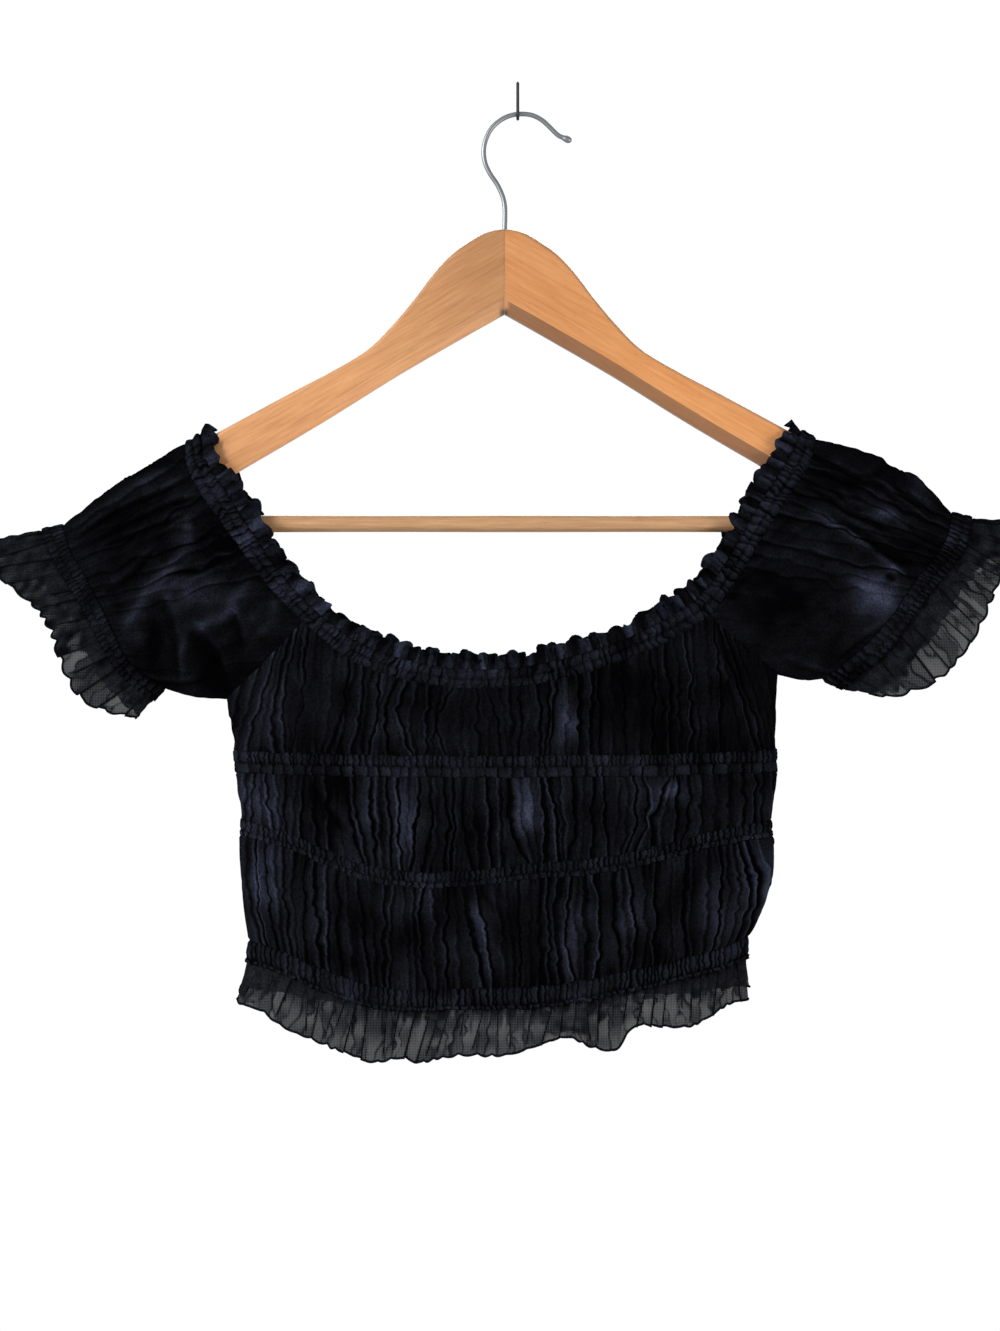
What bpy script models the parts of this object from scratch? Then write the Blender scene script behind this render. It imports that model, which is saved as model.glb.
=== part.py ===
# Off-shoulder top of gathered cotton, hung by its neckline on a wooden hanger with a trouser bar,
# the hanger's steel hook on a small wall hook. All sizes are in millimetres.
# X runs along the hanger, front is -Y, +Z is up and the origin is the top of the wall hook.

import math

import bmesh
import bpy
from mathutils import Vector

MM = 0.001

# Cloth
CLOTH = 1.6
CASING = 2.2
RUFFLE = 1.2
SEAM = 0.3
FRONT = -1
BACK = 1
BODY_DEPTH = 21.0
HEM_DEPTH = 25.0
CUFF_DEPTH = 18.0
CUFF_FRILL_DEPTH = 21.0
SIDE_TURN = 0.25
ARMPIT_TILT = 0.2
ROUNDNESS = 0.8
BACK_DIP = 0.45
CASING_SHARE = 0.6

# Hanger
HANGER_X = -7.8
HANGER_Y = -2.8
BOARD = 14.0
BAR_RADIUS = 5.0
BAR_Z = -259.3
BAR_REACH = 211.0
HOLE_PLAY = 0.3
HOOK_RADIUS = 1.6
HOOK_TIP = 2.3
WALL_WIRE = 0.9
WALL_WIRE_TIP = -14.5
HOOK_TOP_Z = -19.7

# Seam lines across the body from the left side to the right one.
# Columns: left x, left z, right x, right z, depth of the section
BODY_LINES = {
    "bust_top": (-165.0, -391.5, 150.0, -391.0, BODY_DEPTH),
    "bust_bottom": (-163.6, -405.5, 150.2, -405.0, BODY_DEPTH),
    "waist_top": (-160.6, -431.5, 147.0, -432.0, BODY_DEPTH),
    "waist_bottom": (-161.0, -441.5, 147.3, -442.5, BODY_DEPTH),
    "hem_top": (-155.6, -502.0, 133.2, -500.0, BODY_DEPTH),
    "hem_bottom": (-158.0, -515.5, 133.4, -513.8, BODY_DEPTH),
    "edge": (-165.0, -536.5, 134.0, -537.0, HEM_DEPTH),
}

# How far each line dips below its two ends. Columns: share of the width, drop
BUST_DIP = [(0.0, 0.0), (0.25, 1.6), (0.5, 2.4), (0.75, 1.4), (1.0, 0.0)]
WAIST_DIP = [(0.0, 0.0), (0.08, 6.4), (0.15, 14.8), (0.22, 23.4), (0.30, 28.0), (0.37, 29.2),
             (0.46, 27.4), (0.55, 23.6), (0.65, 21.6), (0.73, 17.6), (0.81, 11.6), (0.9, 5.0), (1.0, 0.0)]
HEM_DIP = [(0.0, 0.0), (0.06, 4.6), (0.13, 13.0), (0.2, 20.6), (0.28, 26.2), (0.37, 26.6),
           (0.47, 25.8), (0.57, 25.4), (0.65, 22.8), (0.74, 18.0), (0.83, 12.6), (0.92, 7.0), (1.0, 0.0)]
EDGE_DIP = [(0.0, 0.0), (0.06, 6.5), (0.12, 17.0), (0.2, 25.5), (0.27, 32.5), (0.33, 30.5), (0.36, 33.0),
            (0.44, 28.5), (0.53, 28.5), (0.6, 22.0), (0.65, 18.5), (0.7, 24.5), (0.74, 25.5),
            (0.78, 12.5), (0.85, 13.0), (0.9, 10.5), (0.95, 2.0), (1.0, 0.0)]
DIPS = {
    "bust_top": BUST_DIP, "bust_bottom": BUST_DIP, "waist_top": WAIST_DIP,
    "waist_bottom": WAIST_DIP, "hem_top": HEM_DIP, "hem_bottom": HEM_DIP, "edge": EDGE_DIP,
}

# Neckline from the left shoulder to the right one, seen from the front. The first and last rows lie on
# the hanger's arms. Columns: casing's outer edge x, z, free edge of the frill x, z
NECK_ROWS = [
    (-192.6, -214.5, -177.5, -205.5),
    (-193.0, -226.0, -176.0, -215.5),
    (-186.0, -241.0, -165.5, -231.0),
    (-175.0, -256.5, -155.5, -247.0),
    (-163.5, -272.0, -145.6, -263.0),
    (-152.0, -287.5, -135.5, -279.0),
    (-139.5, -302.5, -124.5, -292.5),
    (-124.4, -317.0, -111.0, -307.0),
    (-100.0, -338.0, -88.0, -321.5),
    (-70.0, -350.2, -62.0, -331.0),
    (-38.0, -355.6, -35.0, -336.0),
    (-4.0, -355.4, -4.0, -336.0),
    (30.0, -349.6, 26.0, -330.0),
    (60.0, -340.0, 54.0, -321.5),
    (89.0, -327.5, 78.5, -310.0),
    (111.4, -313.5, 97.0, -297.0),
    (125.9, -295.0, 110.0, -283.5),
    (137.5, -276.0, 120.5, -266.5),
    (150.0, -256.5, 131.0, -247.0),
    (162.0, -239.0, 141.5, -229.5),
    (171.0, -223.5, 152.5, -213.0),
    (172.5, -210.5, 157.0, -203.0),
]
LEFT_CORNER = 7
RIGHT_CORNER = 15
LAST_ROW = 21
ARMPITS = {-1: (-168.8, -361.3), 1: (151.0, -346.8)}
RAGLAN_SAG = 1.5

# Cuffs from the top of the sleeve to the underarm, seen from the front.
# Columns: casing's inner edge x, z, its outer edge x, z, free edge of the frill x, z
CUFF_ROWS = {
    -1: [
        (-263.9, -261.0, -277.5, -264.0, -309.0, -270.5),
        (-257.5, -277.0, -268.5, -284.0, -298.0, -290.5),
        (-249.0, -291.5, -259.0, -298.5, -281.0, -305.0),
        (-240.5, -307.0, -250.0, -313.0, -268.0, -320.0),
        (-233.0, -323.0, -242.0, -329.0, -262.0, -339.0),
        (-224.0, -340.0, -231.0, -347.0, -249.0, -362.0),
        (-206.0, -355.5, -212.5, -362.0, -222.0, -372.5),
    ],
    1: [
        (251.7, -254.0, 264.5, -257.0, 290.0, -261.0),
        (247.5, -269.0, 259.5, -275.0, 281.5, -285.0),
        (238.0, -282.0, 249.0, -288.5, 272.0, -304.0),
        (227.5, -295.5, 238.0, -301.5, 262.5, -325.0),
        (217.0, -311.0, 227.5, -316.0, 249.5, -341.5),
        (202.0, -329.0, 212.5, -336.0, 230.5, -354.5),
        (178.0, -350.0, 190.0, -355.5, 206.0, -361.5),
    ],
}

# Cloth where it bends over the hanger's arm. Columns: distance from the middle, drop, lean in degrees
WRAP_ROWS = [(0.0, 0.0, 0.0), (4.2, 0.0, 0.0), (7.6, 0.25, 25.0), (8.9, 1.7, 65.0)]
WRAP_Y = 9.2
NECK_PLACES = [0.5, 1.2, 2.0, 2.8, 3.7, 4.6, 5.5, 6.3]
RAGLAN_TURNS = [0.0, 0.1, 0.2, 0.32, 0.46, 0.6]
SIDE_TURNS = [0.0, 0.1, 0.2]
FIRST_TURN = 0.32

# Gathers. Columns: node, upper line, lower line, side, gathers, rows, puff, gather depth, phase
TIERS = [
    ("front_middle", "bust_bottom", "waist_top", FRONT, 24, 4, 4.0, 2.6, 0.3),
    ("front_lower", "waist_bottom", "hem_top", FRONT, 21, 5, 6.0, 3.0, 1.7),
    ("back_middle", "bust_bottom", "waist_top", BACK, 12, 3, 4.0, 2.4, 2.6),
    ("back_lower", "waist_bottom", "hem_top", BACK, 12, 4, 6.0, 2.8, 0.9),
]
# Share of a tier's puff that is left at its side seams. Columns: left, right
SIDE_PUFFS = {"upper": (0.1, 0.1), "middle": (0.1, 0.3), "lower": (0.5, 1.25)}
CASINGS = [
    ("bust_casing_front", "bust_top", "bust_bottom", FRONT),
    ("bust_casing_back", "bust_top", "bust_bottom", BACK),
    ("waist_casing_front", "waist_top", "waist_bottom", FRONT),
    ("waist_casing_back", "waist_top", "waist_bottom", BACK),
    ("hem_casing_front", "hem_top", "hem_bottom", FRONT),
    ("hem_casing_back", "hem_top", "hem_bottom", BACK),
]
UPPER_GATHERS = {FRONT: 21, BACK: 12}
UPPER_ROWS = 4
UPPER_PUFF = 4.0
UPPER_DEPTH = 2.6
NECK_COLUMNS = 24
CASING_COLUMNS = 26
HEM_WAVES = {FRONT: 12, BACK: 8}
HEM_WAVE_DEPTH = 4.5
SLEEVE_ROWS = 6
SLEEVE_GATHER = 2.8
SLEEVE_PUFF = 7.0
SLEEVE_ARCH = {-1: 4.5, 1: 9.5}
SLEEVE_SAG = 3.0
CUFF_WAVE = 3.2
NECK_WAVE = 2.6
CASING_LIFT = 0.6

# One arm of the hanger, measured from its middle. Columns: reach, top z, bottom z
ARM_ROWS = [
    (0.15, -87.6, -136.9), (8.0, -88.9, -141.4), (16.2, -92.5, -146.0), (30.2, -102.1, -154.0),
    (41.2, -113.7, -160.3), (52.2, -128.2, -166.7), (64.4, -142.7, -173.9), (79.5, -157.8, -183.3),
    (101.5, -171.1, -197.1), (124.7, -183.3, -211.0), (165.3, -205.3, -235.0), (187.0, -217.6, -251.0),
    (199.0, -224.4, -264.5), (209.0, -230.1, -270.5), (217.5, -235.5, -268.5), (222.0, -243.0, -261.0),
]
ARM_ROUND = 3.0
ARM_CHAMFER_RISE = 7.0
ARM_CHAMFER_IN = 4.5

# Middle of the steel hook's wire, from inside the wood up to the tip. Columns: x, z
HOOK_ROWS = [
    (-7.6, -112.0), (-7.6, -98.0), (-7.6, -86.0), (-7.5, -75.5), (-8.6, -68.6), (-11.8, -61.2),
    (-16.4, -54.2), (-19.2, -47.8), (-19.9, -41.0), (-18.6, -34.2), (-15.1, -27.7), (-9.6, -22.9),
    (-3.6, -20.3), (2.4, -19.6), (8.6, -20.4), (14.4, -23.4), (19.2, -27.8), (23.6, -32.0), (28.4, -34.2),
]


def clear_scene():
    for item in list(bpy.data.objects):
        bpy.data.objects.remove(item, do_unlink=True)


def material(name, colour, roughness, metallic=0.0, alpha=1.0):
    made = bpy.data.materials.new(name)
    made.use_nodes = True
    shader = made.node_tree.nodes["Principled BSDF"]
    shader.inputs["Base Color"].default_value = (*colour, 1.0)
    shader.inputs["Roughness"].default_value = roughness
    shader.inputs["Metallic"].default_value = metallic
    shader.inputs["Alpha"].default_value = alpha
    return made


def add_object(name, mesh, finish, parent):
    mesh.materials.append(finish)
    made = bpy.data.objects.new(name, mesh)
    made.parent = parent
    bpy.context.collection.objects.link(made)
    return made


def mesh_from(name, points, faces, sharp=math.radians(50)):
    """Closed mesh with its faces turned outwards, from points in millimetres."""
    shape = bmesh.new()
    corners = [shape.verts.new(point * MM) for point in points]
    for face in faces:
        shape.faces.new([corners[index] for index in face])
    bmesh.ops.recalc_face_normals(shape, faces=shape.faces)
    mesh = bpy.data.meshes.new(name)
    shape.to_mesh(mesh)
    shape.free()
    mesh.shade_smooth()
    mesh.set_sharp_from_angle(angle=sharp)
    return mesh


def blend(first, second, share):
    return first + (second - first) * share


def along(rows, place):
    """Values between the rows of a table, on a smooth curve through them."""
    last = len(rows) - 1
    start = max(0, min(int(place), last - 1))
    step = place - start
    values = []
    for a, b, c, d in zip(rows[max(start - 1, 0)], rows[start], rows[start + 1], rows[min(start + 2, last)]):
        slope = (c - a) * step
        bend = (2 * a - 5 * b + 4 * c - d) * step ** 2
        twist = (3 * b - a - 3 * c + d) * step ** 3
        values.append(b + 0.5 * (slope + bend + twist))
    return values


def look_up(rows, share):
    """Second column of a table at a value of its first one."""
    for index in range(len(rows) - 1):
        if share <= rows[index + 1][0]:
            break
    step = (share - rows[index][0]) / (rows[index + 1][0] - rows[index][0])
    return along(rows, index + min(max(step, 0.0), 1.0))[1]


def ripple(place, phase):
    """Uneven strength of a gather, between 0.55 and 1."""
    return 0.775 + 0.225 * math.sin(2.9 * place + phase) * math.cos(1.7 * place + 2.0 * phase)


def swell(share, power=0.6):
    return math.sin(math.pi * min(max(share, 0.0), 1.0)) ** power if 0.0 < share < 1.0 else 0.0


def side_share(tier_name, turn):
    """Share of the puff at a turn across the body, smaller where the side folds."""
    left, right = SIDE_PUFFS[tier_name]
    return blend(left if turn < math.pi / 2 else right, 1.0, math.sin(turn))


def inset(ring, neighbour, closed):
    """Moves an edge half a seam towards the inside of its piece."""
    moved = []
    count = len(ring)
    for index, (point, normal) in enumerate(ring):
        before = ring[index - 1 if closed else max(index - 1, 0)][0]
        after = ring[(index + 1) % count if closed else min(index + 1, count - 1)][0]
        inward = (neighbour[index][0] - point).normalized()
        slant = inward.cross((after - before).normalized()).length
        moved.append((point + inward * (SEAM / 2 / max(slant, 0.5)), normal))
    return moved


def cloth_wall(name, rings, thickness, closed, finish, parent, seams=(True, True)):
    """Wall of cloth through rings of outer points and their outward directions."""
    rings = list(rings)
    if seams[0]:
        rings[0] = inset(rings[0], rings[1], closed)
    if seams[1]:
        rings[-1] = inset(rings[-1], rings[-2], closed)
    width = len(rings[0])
    layer = width * len(rings)
    points = [point for ring in rings for point, normal in ring]
    points += [point - normal * thickness for ring in rings for point, normal in ring]
    faces = []
    steps = width if closed else width - 1
    for row in range(len(rings) - 1):
        for column in range(steps):
            a = row * width + column
            b = row * width + (column + 1) % width
            faces.append((a, b, b + width, a + width))
            faces.append((layer + a, layer + a + width, layer + b + width, layer + b))
        if not closed:
            left = row * width
            right = left + width - 1
            faces.append((left, left + width, layer + left + width, layer + left))
            faces.append((right, layer + right, layer + right + width, right + width))
    for start in (0, layer - width):
        for column in range(steps):
            a = start + column
            b = start + (column + 1) % width
            faces.append((a, b, layer + b, layer + a))
    return add_object(name, mesh_from(name, points, faces), finish, parent)


def facing(point, normal, side):
    """Turns a point and a direction of the front into those of the back."""
    if side == BACK:
        return Vector((point.x, -point.y, point.z)), Vector((normal.x, -normal.y, normal.z))
    return point, normal


def line_point(line, turn, side, lift=0.0):
    """Point of a seam line across the body. The turn runs from 0 at the left side to pi."""
    left_x, left_z, right_x, right_z, depth = BODY_LINES[line]
    share = (1 - math.cos(turn)) / 2
    drop = look_up(DIPS[line], share) * (BACK_DIP if side == BACK else 1.0)
    y = -(SEAM / 2 + depth * math.sin(turn) ** ROUNDNESS)
    point = Vector((blend(left_x, right_x, share), y, blend(left_z, right_z, share) - drop))
    normal = Vector((-math.cos(turn) * SIDE_TURN, -math.sin(turn), 0)).normalized()
    return facing(point + normal * lift, normal, side)


def body_turns(steps):
    """Turns for the columns of a body piece, closer together where the side folds."""
    length = math.cos(FIRST_TURN)
    inner = [math.acos(length * (1 - 2 * step / steps)) for step in range(steps + 1)]
    return SIDE_TURNS + inner + [math.pi - turn for turn in reversed(SIDE_TURNS)]


def top_point(x, z, side):
    """Point of the upper tier's top edge, on the neckline or on a raglan seam."""
    left, right = ARMPITS[-1][0], ARMPITS[1][0]
    cosine = ((left + right) / 2 - x) / ((right - left) / 2)
    cosine = min(max(cosine, -1.0), 1.0)
    sine = math.sqrt(1 - cosine ** 2)
    point = Vector((x, -(SEAM / 2 + BODY_DEPTH * sine ** ROUNDNESS), z))
    tilt = -ARMPIT_TILT * abs(cosine) ** 20
    return facing(point, Vector((-cosine * SIDE_TURN, -sine, tilt)).normalized(), side)


def raglan_points(hand, side):
    """Raglan seam from the armpit up to the neckline's corner, which is left out."""
    armpit_x, armpit_z = ARMPITS[hand]
    corner = NECK_ROWS[LEFT_CORNER if hand < 0 else RIGHT_CORNER]
    half = (ARMPITS[1][0] - ARMPITS[-1][0]) / 2
    points = []
    for turn in RAGLAN_TURNS:
        x = armpit_x - hand * half * (1 - math.cos(turn))
        share = (x - armpit_x) / (corner[0] - armpit_x)
        z = blend(armpit_z, corner[1], share) - RAGLAN_SAG * math.sin(math.pi * share)
        points.append(top_point(x, z, side))
    return points


def upper_tier(side, finish, parent):
    """Yoke between the neckline, the two raglan seams and the bust casing."""
    name = "front_upper" if side == FRONT else "back_upper"
    steps = 2 * UPPER_GATHERS[side]
    left = raglan_points(-1, side)
    right = raglan_points(1, side)
    places = [blend(LEFT_CORNER, RIGHT_CORNER, step / steps) for step in range(steps + 1)]
    top = left + [top_point(*along(NECK_ROWS, place)[:2], side) for place in places] + right[::-1]
    ends = ARMPITS[-1][0], ARMPITS[1][0]
    rings = []
    for row in range(UPPER_ROWS + 1):
        share = row / UPPER_ROWS
        ring = []
        for column, (point, normal) in enumerate(top):
            part = (point.x - ends[0]) / (ends[1] - ends[0])
            turn = math.acos(min(max(1 - 2 * part, -1.0), 1.0))
            low, low_normal = line_point("bust_top", turn, side)
            direction = normal.lerp(low_normal, share).normalized()
            raised = UPPER_PUFF * swell(share) * side_share("upper", turn)
            if column % 2:
                raised += UPPER_DEPTH * swell(share, 0.35) * ripple(column, 0.4)
            ring.append((point.lerp(low, share) + direction * raised, direction))
        rings.append(ring)
    cloth_wall(name, rings, CLOTH, False, finish, parent)


def tier(row, finish, parent):
    """Gathered panel between two casings."""
    name, upper, lower, side, gathers, rows, puff, depth, phase = row
    turns = body_turns(2 * gathers - 6)
    rings = []
    for step in range(rows + 1):
        share = step / rows
        ring = []
        for column, turn in enumerate(turns):
            high, high_normal = line_point(upper, turn, side)
            low, low_normal = line_point(lower, turn, side)
            direction = high_normal.lerp(low_normal, share).normalized()
            raised = puff * swell(share) * side_share(name.split("_")[1], turn)
            raised *= 0.8 + 0.2 * math.sin(2.2 * turn + phase)
            if column % 2:
                raised += depth * swell(share, 0.35) * ripple(column, phase + 0.6 * share)
            ring.append((high.lerp(low, share) + direction * raised, direction))
        rings.append(ring)
    cloth_wall(name, rings, CLOTH, False, finish, parent)


def body_casing(name, upper, lower, side, finish, parent):
    """Elastic casing, a narrow band that lies a little proud of the tiers."""
    turns = body_turns(CASING_COLUMNS)
    rings = [[line_point(line, turn, side, CASING_LIFT) for turn in turns] for line in (upper, lower)]
    cloth_wall(name, rings, CASING, False, finish, parent)


def hem_ruffle(side, finish, parent):
    """Sheer frill below the hem casing, with soft waves that grow towards its free edge."""
    name = "hem_ruffle_front" if side == FRONT else "hem_ruffle_back"
    turns = body_turns(3 * HEM_WAVES[side])
    rings = []
    for share in (0.0, 0.5, 1.0):
        ring = []
        for column, turn in enumerate(turns):
            high, high_normal = line_point("hem_bottom", turn, side)
            low, low_normal = line_point("edge", turn, side)
            wave = (0.0, 1.0, 0.45)[column % 3] * HEM_WAVE_DEPTH * share * ripple(column, 1.1)
            direction = high_normal.lerp(low_normal, share).normalized()
            ring.append((high.lerp(low, share) + direction * wave, direction))
        rings.append(ring)
    cloth_wall(name, rings, RUFFLE, False, finish, parent, (True, False))


def arm_top(reach):
    """Height of an arm's top edge at a distance from the hanger's middle."""
    for before, after in zip(ARM_ROWS, ARM_ROWS[1:]):
        if reach <= after[0]:
            break
    return blend(before[1], after[1], (reach - before[0]) / (after[0] - before[0]))


def arm_up(hand):
    """Direction square to an arm's top edge where the cloth lies on it."""
    slope = (arm_top(190.0) - arm_top(170.0)) / 20.0
    return Vector((-hand * slope, 0, 1)).normalized()


def seat_on_arm(x, hand, thickness):
    """Point of the outside of cloth that rests on an arm at x."""
    rest = Vector((x, 0, arm_top(abs(x - HANGER_X))))
    return rest + arm_up(hand) * (thickness + SEAM + 0.05)


def over_top(top, down, up):
    """Cloth bent over the arm's thickness, from the middle to the front."""
    points = []
    for distance, drop, lean in WRAP_ROWS:
        angle = math.radians(lean)
        normal = up * math.cos(angle) + Vector((0, -math.sin(angle), 0))
        points.append((top + down * drop + Vector((0, -distance, 0)), normal))
    return points


def neck_half(hand, share):
    """One shoulder's part of a line in the neck casing or frill, from the arm's top to the corner."""
    order = -1 if hand > 0 else 1
    corner = LEFT_CORNER if hand < 0 else RIGHT_CORNER
    first = 0 if hand < 0 else LAST_ROW
    span = abs(corner - first)

    def at(place):
        values = along(NECK_ROWS, first + order * place * span / 7)
        return Vector((blend(values[0], values[2], share), 0, blend(values[1], values[3], share)))

    corner_row = NECK_ROWS[corner]
    corner_point, corner_normal = top_point(corner_row[0], corner_row[1], FRONT)
    top = seat_on_arm(at(0.0).x, hand, CASING)
    down = (at(1.0) - top).normalized()
    points = over_top(top, down, arm_up(hand))
    for place in NECK_PLACES:
        part = place / 7
        flat = at(place)
        flat.y = -blend(WRAP_Y, -corner_point.y, part)
        points.append((flat, Vector((0, -1, 0)).lerp(corner_normal, part).normalized()))
    return points


def neck_line(share, lift, waves=0.0):
    """Closed line round the neckline. Share 0 is the casing's outer edge and 1 the frill's free edge."""
    left = neck_half(-1, share)
    right = neck_half(1, share)
    middle = []
    for step in range(NECK_COLUMNS + 1):
        values = along(NECK_ROWS, blend(LEFT_CORNER, RIGHT_CORNER, step / NECK_COLUMNS))
        point, normal = top_point(values[0], values[1], FRONT)
        point.x = blend(values[0], values[2], share)
        point.z = blend(values[1], values[3], share)
        middle.append((point, normal))
    front = left + middle + right[::-1]
    back = [facing(point, normal, BACK) for point, normal in front[1:-1]]
    ring = []
    for column, (point, normal) in enumerate(front + back[::-1]):
        wave = (0.0, 1.0, 0.4)[column % 3] * waves * ripple(column, 0.2)
        ring.append((point + normal * (lift + wave), normal))
    return ring


def cuff_ring(hand, shares, pair, depth, lift=0.0):
    """Closed line round a cuff. Pair 0 is the casing's inner edge, 1 its outer edge, 2 the frill's edge."""
    rows = CUFF_ROWS[hand]

    def at(share):
        values = along(rows, share * (len(rows) - 1))
        return Vector((values[2 * pair], 0, values[2 * pair + 1]))

    up = arm_up(hand)
    down = (at(0.08) - at(0.0)).normalized()
    under = Vector((0.3 * hand, 0, -1)).normalized()
    front = over_top(at(0.0), down, up)
    for share in shares:
        flat = at(share)
        round_end = math.sqrt(max(0.0, 1 - share ** 8))
        y = blend(WRAP_Y, depth, math.sin(math.pi / 2 * min(1.0, 2 * share))) * round_end
        flat.y = -y
        front.append((flat, Vector((0, -1, 0)).lerp(under, share ** 12).normalized()))
    back = [facing(point, normal, BACK) for point, normal in front[1:-1]]
    return [(point + normal * lift, normal) for point, normal in front + back[::-1]]


def sleeve_start(hand):
    """Sleeve's upper edge on one side: over the arm, down the neck casing and down the raglan seam."""
    corner = NECK_ROWS[LEFT_CORNER if hand < 0 else RIGHT_CORNER]
    points = neck_half(hand, 0.0) + [top_point(corner[0], corner[1], FRONT)]
    points += raglan_points(hand, FRONT)[::-1]
    armpit, normal = points[-1]
    points[-1] = (Vector((armpit.x, 0, armpit.z)), normal)
    return points


def path_shares(points):
    """Share of the way from the arm's top to the armpit at each point after the bend."""
    lengths = [0.0]
    for (before, first), (after, second) in zip(points, points[1:]):
        lengths.append(lengths[-1] + (after - before).length)
    start = lengths[len(WRAP_ROWS) - 1]
    return [(length - start) / (lengths[-1] - start) for length in lengths[len(WRAP_ROWS):]]


def sleeve(hand, finish, casing_finish, ruffle_finish, parent):
    """Short puffed sleeve with its cuff casing and cuff frill."""
    name = "left" if hand < 0 else "right"
    half = sleeve_start(hand)
    shares = path_shares(half)
    back = [facing(point, normal, BACK) for point, normal in half[1:-1]]
    start = half + back[::-1]
    end = cuff_ring(hand, shares, 0, CUFF_DEPTH)
    down_share = [0.0] * len(WRAP_ROWS) + shares
    down_share += down_share[1:-1][::-1]
    rings = []
    for row in range(SLEEVE_ROWS + 1):
        share = row / SLEEVE_ROWS
        ring = []
        for column, ((high, high_normal), (low, low_normal)) in enumerate(zip(start, end)):
            place = down_share[column]
            direction = high_normal.lerp(low_normal, share).normalized()
            crown = blend(SLEEVE_ARCH[hand], SLEEVE_PUFF, min(1.0, 2.5 * place))
            crown = blend(crown, SLEEVE_SAG, min(1.0, max(0.0, 4 * place - 3)))
            raised = crown * swell(share, 0.8)
            if column % 2:
                fade = min(1.0, max(0.0, 6 * (1 - place)))
                raised += SLEEVE_GATHER * swell(share, 0.35) * ripple(column, 0.8 * share + hand) * fade
            ring.append((high.lerp(low, share) + direction * raised, direction))
        rings.append(ring)
    cloth_wall("sleeve_" + name, rings, CLOTH, True, finish, parent)
    casing = [cuff_ring(hand, shares, 0, CUFF_DEPTH, CASING_LIFT)]
    casing.append(cuff_ring(hand, shares, 1, CUFF_DEPTH, CASING_LIFT))
    cloth_wall("cuff_casing_" + name, casing, CASING, True, casing_finish, parent)
    inner = cuff_ring(hand, shares, 1, CUFF_DEPTH)
    outer = cuff_ring(hand, shares, 2, CUFF_FRILL_DEPTH)
    frill = []
    for share in (0.0, 0.5, 1.0):
        ring = []
        for column, ((high, high_normal), (low, low_normal)) in enumerate(zip(inner, outer)):
            direction = high_normal.lerp(low_normal, share).normalized()
            wave = (0.0, 0.7, 1.0, 0.5)[column % 4] * CUFF_WAVE * share * ripple(column, hand)
            ring.append((high.lerp(low, share) + direction * wave, direction))
        frill.append(ring)
    cloth_wall("cuff_ruffle_" + name, frill, RUFFLE, True, ruffle_finish, parent, (True, False))


def neckline(casing_finish, finish, parent):
    """Neck casing and its narrow frill, all round over both arms of the hanger."""
    casing = [neck_line(0.0, CASING_LIFT), neck_line(CASING_SHARE, CASING_LIFT)]
    cloth_wall("neck_casing", casing, CASING, True, casing_finish, parent)
    frill = [neck_line(CASING_SHARE, 0.0), neck_line(1.0, 0.6, NECK_WAVE)]
    cloth_wall("neck_ruffle", frill, CLOTH, True, finish, parent, (True, False))


def cylinder(name, radius, start, end, sides=16):
    """Closed round bar between two points, in millimetres."""
    axis = (end - start).normalized()
    across = axis.orthogonal().normalized()
    other = axis.cross(across)
    points = []
    for centre in (start, end):
        for step in range(sides):
            angle = 2 * math.pi * step / sides
            points.append(centre + (across * math.cos(angle) + other * math.sin(angle)) * radius)
    faces = [(i, (i + 1) % sides, sides + (i + 1) % sides, sides + i) for i in range(sides)]
    faces += [tuple(range(sides)), tuple(range(sides, 2 * sides))]
    return mesh_from(name, points, faces)


def cut(target, name, mesh, parent):
    """Takes a cutter's shape out of a piece."""
    cutter = bpy.data.objects.new(name, mesh)
    cutter.parent = parent
    cutter.hide_render = True
    cutter.display_type = "WIRE"
    bpy.context.collection.objects.link(cutter)
    modifier = target.modifiers.new(name, "BOOLEAN")
    modifier.operation = "DIFFERENCE"
    modifier.solver = "EXACT"
    modifier.object = cutter


def hanger_arm(hand, finish, parent):
    """Half of the hanger: rounded along the top, chamfered along the underside."""
    name = "hanger_arm_left" if hand < 0 else "hanger_arm_right"
    half = BOARD / 2
    points = []
    for reach, top, bottom in ARM_ROWS:
        x = HANGER_X + hand * reach
        under = bottom + ARM_CHAMFER_RISE
        section = [(-half + ARM_ROUND, top), (half - ARM_ROUND, top), (half, top - ARM_ROUND),
                   (half, under), (half - ARM_CHAMFER_IN, bottom), (ARM_CHAMFER_IN - half, bottom),
                   (-half, under), (-half, top - ARM_ROUND)]
        points += [Vector((x, y, z)) for y, z in section]
    size = 8
    faces = []
    for row in range(len(ARM_ROWS) - 1):
        for corner in range(size):
            a = row * size + corner
            b = row * size + (corner + 1) % size
            faces.append((a, b, b + size, a + size))
    last = len(points) - size
    faces += [tuple(range(size)), tuple(range(last, last + size))]
    arm = add_object(name, mesh_from(name, points, faces, math.radians(35)), finish, parent)
    pocket_end = HANGER_X + hand * (BAR_REACH + HOLE_PLAY)
    pocket_start = HANGER_X + hand * 170
    pocket = cylinder(name + "_pocket", BAR_RADIUS + HOLE_PLAY,
                      Vector((pocket_start, 0, BAR_Z)), Vector((pocket_end, 0, BAR_Z)))
    cut(arm, name + "_pocket", pocket, parent)
    hole_x = HOOK_ROWS[0][0]
    hole = cylinder(name + "_hole", HOOK_RADIUS + HOLE_PLAY,
                    Vector((hole_x, 0, HOOK_ROWS[0][1] - HOLE_PLAY)), Vector((hole_x, 0, -80)))
    cut(arm, name + "_hole", hole, parent)


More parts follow.
